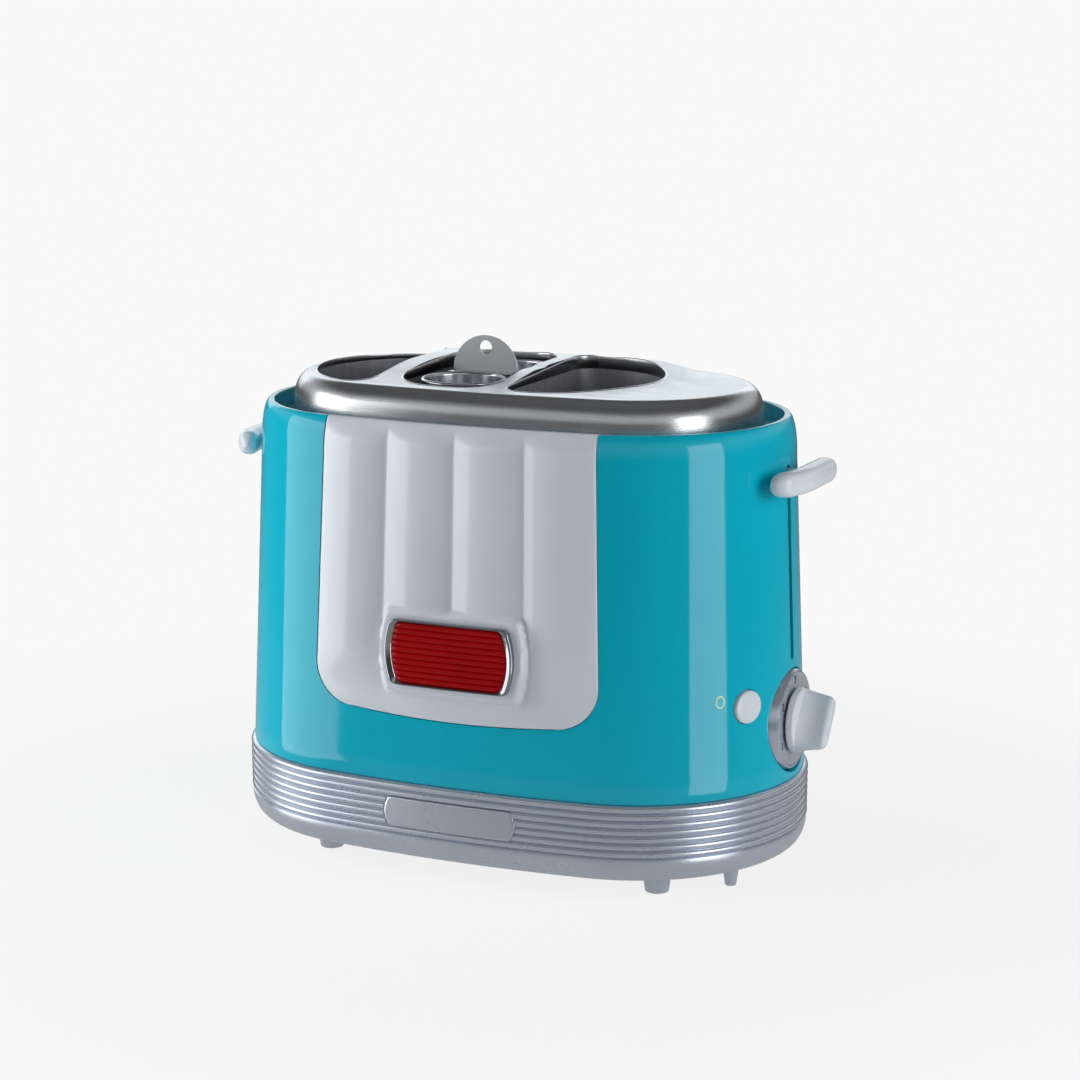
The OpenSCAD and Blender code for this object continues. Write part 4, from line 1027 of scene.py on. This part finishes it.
def makeBridges():
    # plates between the tubes, hollowed at their ends
    bm = bmesh.new()
    for z, half in ((cage["high"] - 1.0, cage["tab"]), (cage["low"], cage["tab"] * 0.6)):
        outline = []
        for side in (1, -1):
            for i in range(9):
                y = side * (cage["bridge"] * (1 - 2 * i / 8))
                x = side * (half - cage["bridgeDish"] * cos(pi / 2 * y / cage["bridge"]))
                outline.append((cage["x"] + x, y))
        swept([[Vector((x, y, z + h)) for x, y in outline] for h in (0, cage["bridgeThick"])], "both", bm)
    finishPiece(bm, "cageBridge", "cage", "polished_steel", sharp=30)


def makeGrid():
    # two crossed wires at the foot of each tube
    thick, reach = cage["wire"], cage["outer"] - cage["wall"]
    bm = bmesh.new()
    for side in (-1, 1):
        for k in range(2):
            turn = tubePlace(side, cage["low"] + thick + 0.1) @ Matrix.Rotation(pi / 2 * k, 4, "Z") @ onX
            spun([(0, -reach), (thick, -reach), (thick, reach), (0, reach)], 16, turn, bm)
    finishPiece(bm, "cageGrid", "cage", "wire_steel", sharp=40)


def makeTab():
    r, half, foot = cage["tab"], cage["tabThick"] / 2, cage["high"]
    outline = [(r * cos(radians(a)), r * sin(radians(a))) for a in range(0, 181, 4)]
    rings = []
    for y, shrink in ((-half, 0.25), (-half + 0.25, 0), (half - 0.25, 0), (half, 0.25)):
        k = (r - shrink) / r
        rings.append([Vector((cage["x"] + x * k, y, foot + max(0.0, z * k))) for x, z in outline])
    piece = finishPiece(swept(rings, "both"), "cageTab", "cage", "polished_steel", tabSteel, sharp=30)
    place = Matrix.Translation((cage["x"], -5, foot + cage["holeZ"])) @ Matrix.Rotation(-pi / 2, 4, "X")
    carve(piece, [drill(cage["hole"], place, "tabDrill", 10)], sharp=30)
    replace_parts(piece, "cage_tab")


makeTubes()
makeBridges()
makeGrid()
makeTab()
print("toaster: cage made")

# levers
lever = {"inner": 137.0, "outer": 148.5, "bowFront": 6.5, "bowBack": 0.2, "half": 29.0, "end": 7.0,
         "z": 188.4, "height": 11.6, "drawnIn": 0.06, "squareness": 0.8,
         "neckStart": 130.0, "neckHalf": 1.6, "neckLow": 184.6, "neckHigh": 192.0, "neckEdge": 0.5}


def power(value, exponent):
    return copysign(abs(value) ** exponent, value)


def makeLever(side, name):
    # a flattened pill swept along Y, bowed back at its front end, on a neck through the shell's slot
    mid, thick = (lever["inner"] + lever["outer"]) / 2, (lever["outer"] - lever["inner"]) / 2
    half, end, square = lever["half"], lever["end"], lever["squareness"]
    places = [-half + end * (1 - cos(radians(a))) for a in (6, 12, 20, 30, 42, 55, 70, 90)]
    places += [(half - end) * i / 12 for i in range(-11, 12)] + [-y for y in reversed(places)]
    rings = []
    for y in places:
        s = y / half
        over = max(0.0, abs(y) - (half - end)) / end
        fat = sqrt(1 - over * over)
        centre = mid - (lever["bowBack"] if y > 0 else lever["bowFront"]) * s * s
        ring = []
        for i in range(48):
            a = 2 * pi * i / 48
            x = centre + thick * (1 - lever["drawnIn"] * s * s) * fat * power(cos(a), square)
            z = lever["z"] + lever["height"] / 2 * fat * power(sin(a), square)
            ring.append(Vector((side * x, y, z)))
        rings.append(ring)
    bm = swept(rings, "both")
    neck = bmesh.ops.create_cube(bm, size=1)["verts"]
    start, low, high = lever["neckStart"], lever["neckLow"], lever["neckHigh"]
    place = Matrix.Translation((side * (start + mid) / 2, 0, (low + high) / 2))
    stretch = Matrix.Diagonal((mid - start, 2 * lever["neckHalf"], high - low, 1))
    bmesh.ops.transform(bm, matrix=place @ stretch, verts=neck)
    edges = list({e for v in neck for e in v.link_edges})
    bmesh.ops.bevel(bm, geom=edges, offset=lever["neckEdge"], segments=3, profile=0.5, affect="EDGES",
                    material=-1)
    return finishPiece(bm, name, "carriage", "white_gloss", sharp=50)


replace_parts(makeLever(1, "rightLever"), "right_lever")
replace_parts(makeLever(-1, "leftLever"), "left_lever")

# dial, knob and stop button
dial = {"z": 73.5, "back": 130.5, "front": 138.6, "radius": 24.4, "face": 22.6, "hub": 4.2,
        "numbers": 18.9, "lastNumber": 5, "numberStep": 60, "size": 5.4, "ink": 0.12}
knob = {"start": 139.0, "disc": 15.4, "discHigh": 3.4, "end": 156.0, "half": 15.2, "halfEnd": 12.6,
        "thick": 4.0, "flare": 4.5, "tip": 0.82, "angle": 145.0}
stop = {"radius": 7.7, "proud": 2.2, "sag": 0.9, "flange": 1.5,
        "markAngle": -38.3, "markZ": 91.6, "markW": 5.0, "markH": 6.2, "stroke": 0.85}


def makeBezel():
    r, face, hub, back, front = (dial[k] for k in ("radius", "face", "hub", "back", "front"))
    profile = [(hub, back), (r, back), (r, back + 3.4), (r - 0.9, front - 1.2), (face + 0.25, front - 0.2),
               (face - 0.2, front), (face - 0.8, front - 0.05), (face - 1.4, front - 0.45),
               (16.2, front - 0.5), (15.8, front - 0.8), (hub, front - 0.8), (hub, back)]
    bm = spun(profile, 128, Matrix.Translation((0, 0, dial["z"])) @ onX)
    piece = finishPiece(bm, "dialBezel", "housing", "silver_paint", sharp=30)
    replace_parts(piece, "dial_bezel")


def makeNumber(number):
    text = bpy.data.curves.new("number", "FONT")
    text.body, text.size, text.extrude = str(number), dial["size"], dial["ink"]
    text.align_x, text.align_y = "CENTER", "CENTER"
    letter = bpy.data.objects.new("numberText", text)
    scene.collection.objects.link(letter)
    mesh = bpy.data.meshes.new_from_object(letter.evaluated_get(bpy.context.evaluated_depsgraph_get()))
    bpy.data.objects.remove(letter)
    bm = bmesh.new()
    bm.from_mesh(mesh)
    bpy.data.meshes.remove(mesh)
    # the text's X runs to +Y and its Y runs up, and it faces +X; the middle number is at the top
    stand = Matrix(((0, 0, 1, 0), (1, 0, 0, 0), (0, 1, 0, 0), (0, 0, 0, 1)))
    around = radians(dial["numberStep"] * (number - (dial["lastNumber"] + 1) / 2))
    y, z = dial["numbers"] * sin(around), dial["numbers"] * cos(around)
    place = Matrix.Translation((dial["front"] - 0.45, y, dial["z"] + z))
    bmesh.ops.transform(bm, matrix=place @ stand, verts=bm.verts)
    finishPiece(bm, "dialNumber%d" % number, "housing", "silver_paint", printDark, weld=0.01)


def makeKnob():
    # a disc with a flat grip that tapers outwards; c runs along the grip from 0 to 1
    x0, disc, high = knob["start"], knob["disc"], knob["discHigh"]
    profile = [(0, x0), (disc - 0.4, x0), (disc, x0 + 0.4), (disc - 0.1, x0 + high - 1.0),
               (disc - 0.4, x0 + high - 0.35), (disc - 1.2, x0 + high), (0, x0 + high)]
    bm = spun(profile, 96, onX)
    rings = []
    deep = knob["end"] - x0 - high + 1.5
    tip = knob["tip"]
    for c in [0, 0.06, 0.12, 0.2, 0.3, 0.42, 0.56, 0.7, tip, 0.88, 0.93, 0.97, 0.99, 1.0]:
        half = knob["half"] + (knob["halfEnd"] - knob["half"]) * c
        thick = knob["thick"] + knob["flare"] * (1 - min(1, c / 0.75)) ** 2.2
        if c > tip:
            drop = 1 - sqrt(max(0.0, 1 - ((c - tip) / (1 - tip)) ** 2))
            half, thick = half - 2.6 * drop, thick - 2.4 * drop
        ring = []
        for i in range(72):
            a = 2 * pi * i / 72
            y, z = thick * power(sin(a), 0.7), half * power(cos(a), 0.62)
            reach = hypot(y, z)
            if c < 0.3 and reach > disc - 0.3:
                y, z = y * (disc - 0.3) / reach, z * (disc - 0.3) / reach
            ring.append(Vector((x0 + high - 1.5 + deep * c, y, z)))
        rings.append(ring)
    swept(rings, "both", bm)
    turn = Matrix.Translation((0, 0, dial["z"])) @ Matrix.Rotation(radians(knob["angle"]), 4, "X")
    bmesh.ops.transform(bm, matrix=turn, verts=bm.verts)
    piece = finishPiece(bm, "timerKnob", "dial", "white_gloss", sharp=35)
    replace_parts(piece, "timer_knob")


def makeButton():
    radial = plan["endRadius"] - shellInset(shell["buttonZ"])
    r, proud, sag = stop["radius"], stop["proud"], stop["sag"]
    wide = r + stop["flange"]
    profile = [(0, -5.0), (wide, -5.0), (wide, -3.9), (r, -3.9), (r, proud - sag - 0.6),
               (r - 0.15, proud - sag - 0.2), (r - 0.7, proud - sag + 0.15)]
    profile += [(r * k, proud - sag * k * k) for k in (0.8, 0.6, 0.4, 0.2)] + [(0, proud)]
    bm = spun(profile, 80, alongEnd(buttonTurn, radial, shell["buttonZ"]))
    piece = finishPiece(bm, "stopButton", "button", "white_gloss", sharp=45)
    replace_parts(piece, "stop_button")


def makeStopMark():
    # a printed ring beside the button, a hair above the shell
    angle, z0 = radians(stop["markAngle"]), stop["markZ"]

    def ring(w, h, lift):
        points = []
        for i in range(48):
            a = 2 * pi * i / 48
            z = z0 + h / 2 * sin(a)
            around = angle + w / 2 * cos(a) / plan["endRadius"]
            r = plan["endRadius"] - shellInset(z) + lift
            points.append(Vector((endX + r * cos(around), r * sin(around), z)))
        return points

    w, h, s = stop["markW"], stop["markH"], 2 * stop["stroke"]
    bm = swept([ring(w, h, -0.1), ring(w, h, 0.06), ring(w - s, h - s, 0.06), ring(w - s, h - s, -0.1)])
    finishPiece(bm, "stopMark", "housing", "teal_shell", printCream, sharp=60)


makeBezel()
for dialNumber in range(1, dial["lastNumber"] + 1):
    makeNumber(dialNumber)
makeKnob()
makeButton()
makeStopMark()
print("toaster: controls made")


# crumb tray front and grommet, at the back
def makeTrayFront():
    # the front closes the opening in the base and has a lip along its foot to pull it by
    gap, proud = base["trayGap"], base["proud"]
    left, right = base["trayLeft"] + gap, base["trayRight"] - gap
    low, high = base["trayLow"] + gap, base["trayHigh"] - gap
    columns = [left, left + 0.4] + [left + 0.8 + (right - left - 1.6) * i / 60 for i in range(61)]
    columns += [right - 0.4, right]
    rows = [low + d for d in (0, 0.4, 1.2, 2.2, 3.2, 4.4, 6)]
    rows += [low + 6 + (high - low - 6.8) * i / 6 for i in range(1, 7)] + [high - 0.3, high]

    def front(x, z):
        edge = min(x - left, right - x, z - low, high - z)
        drop = 0.5 * (1 - smooth(edge / 0.9))
        pull = 1.0 * smooth(1 - abs(z - low - 1.6) / 1.6) * smooth((60 - abs(x - (left + right) / 2)) / 6)
        return Vector((x, -frontY(x, 0.9 - proud - pull + drop), z))

    bm = thickGrid(columns, rows, front, lambda x, z: Vector((x, -frontY(x, 1.6), z)))
    piece = finishPiece(bm, "trayFront", "tray", "silver_paint", sharp=40)
    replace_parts(piece, "tray_front")


grommet = {"angle": 55, "z": 31.0, "bore": 3.4, "neck": 6.0, "deep": 7.0}


def makeGrommet():
    bore, neck = grommet["bore"], grommet["neck"]
    out = plan["endRadius"] + base["proud"]
    end = out - grommet["deep"]
    profile = [(bore, end), (neck, end), (neck, out + 0.1), (8.0, out + 0.1), (8.35, out + 0.4),
               (8.2, out + 1.1), (7.2, out + 1.6), (4.2, out + 1.6), (bore, out + 1.0), (bore, end)]
    bm = spun(profile, 48, alongEnd(radians(grommet["angle"]), 0, grommet["z"]))
    piece = finishPiece(bm, "cordGrommet", "housing", "black_rubber", sharp=40)
    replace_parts(piece, "cord_grommet")


makeTrayFront()
makeGrommet()
print("toaster: back made")
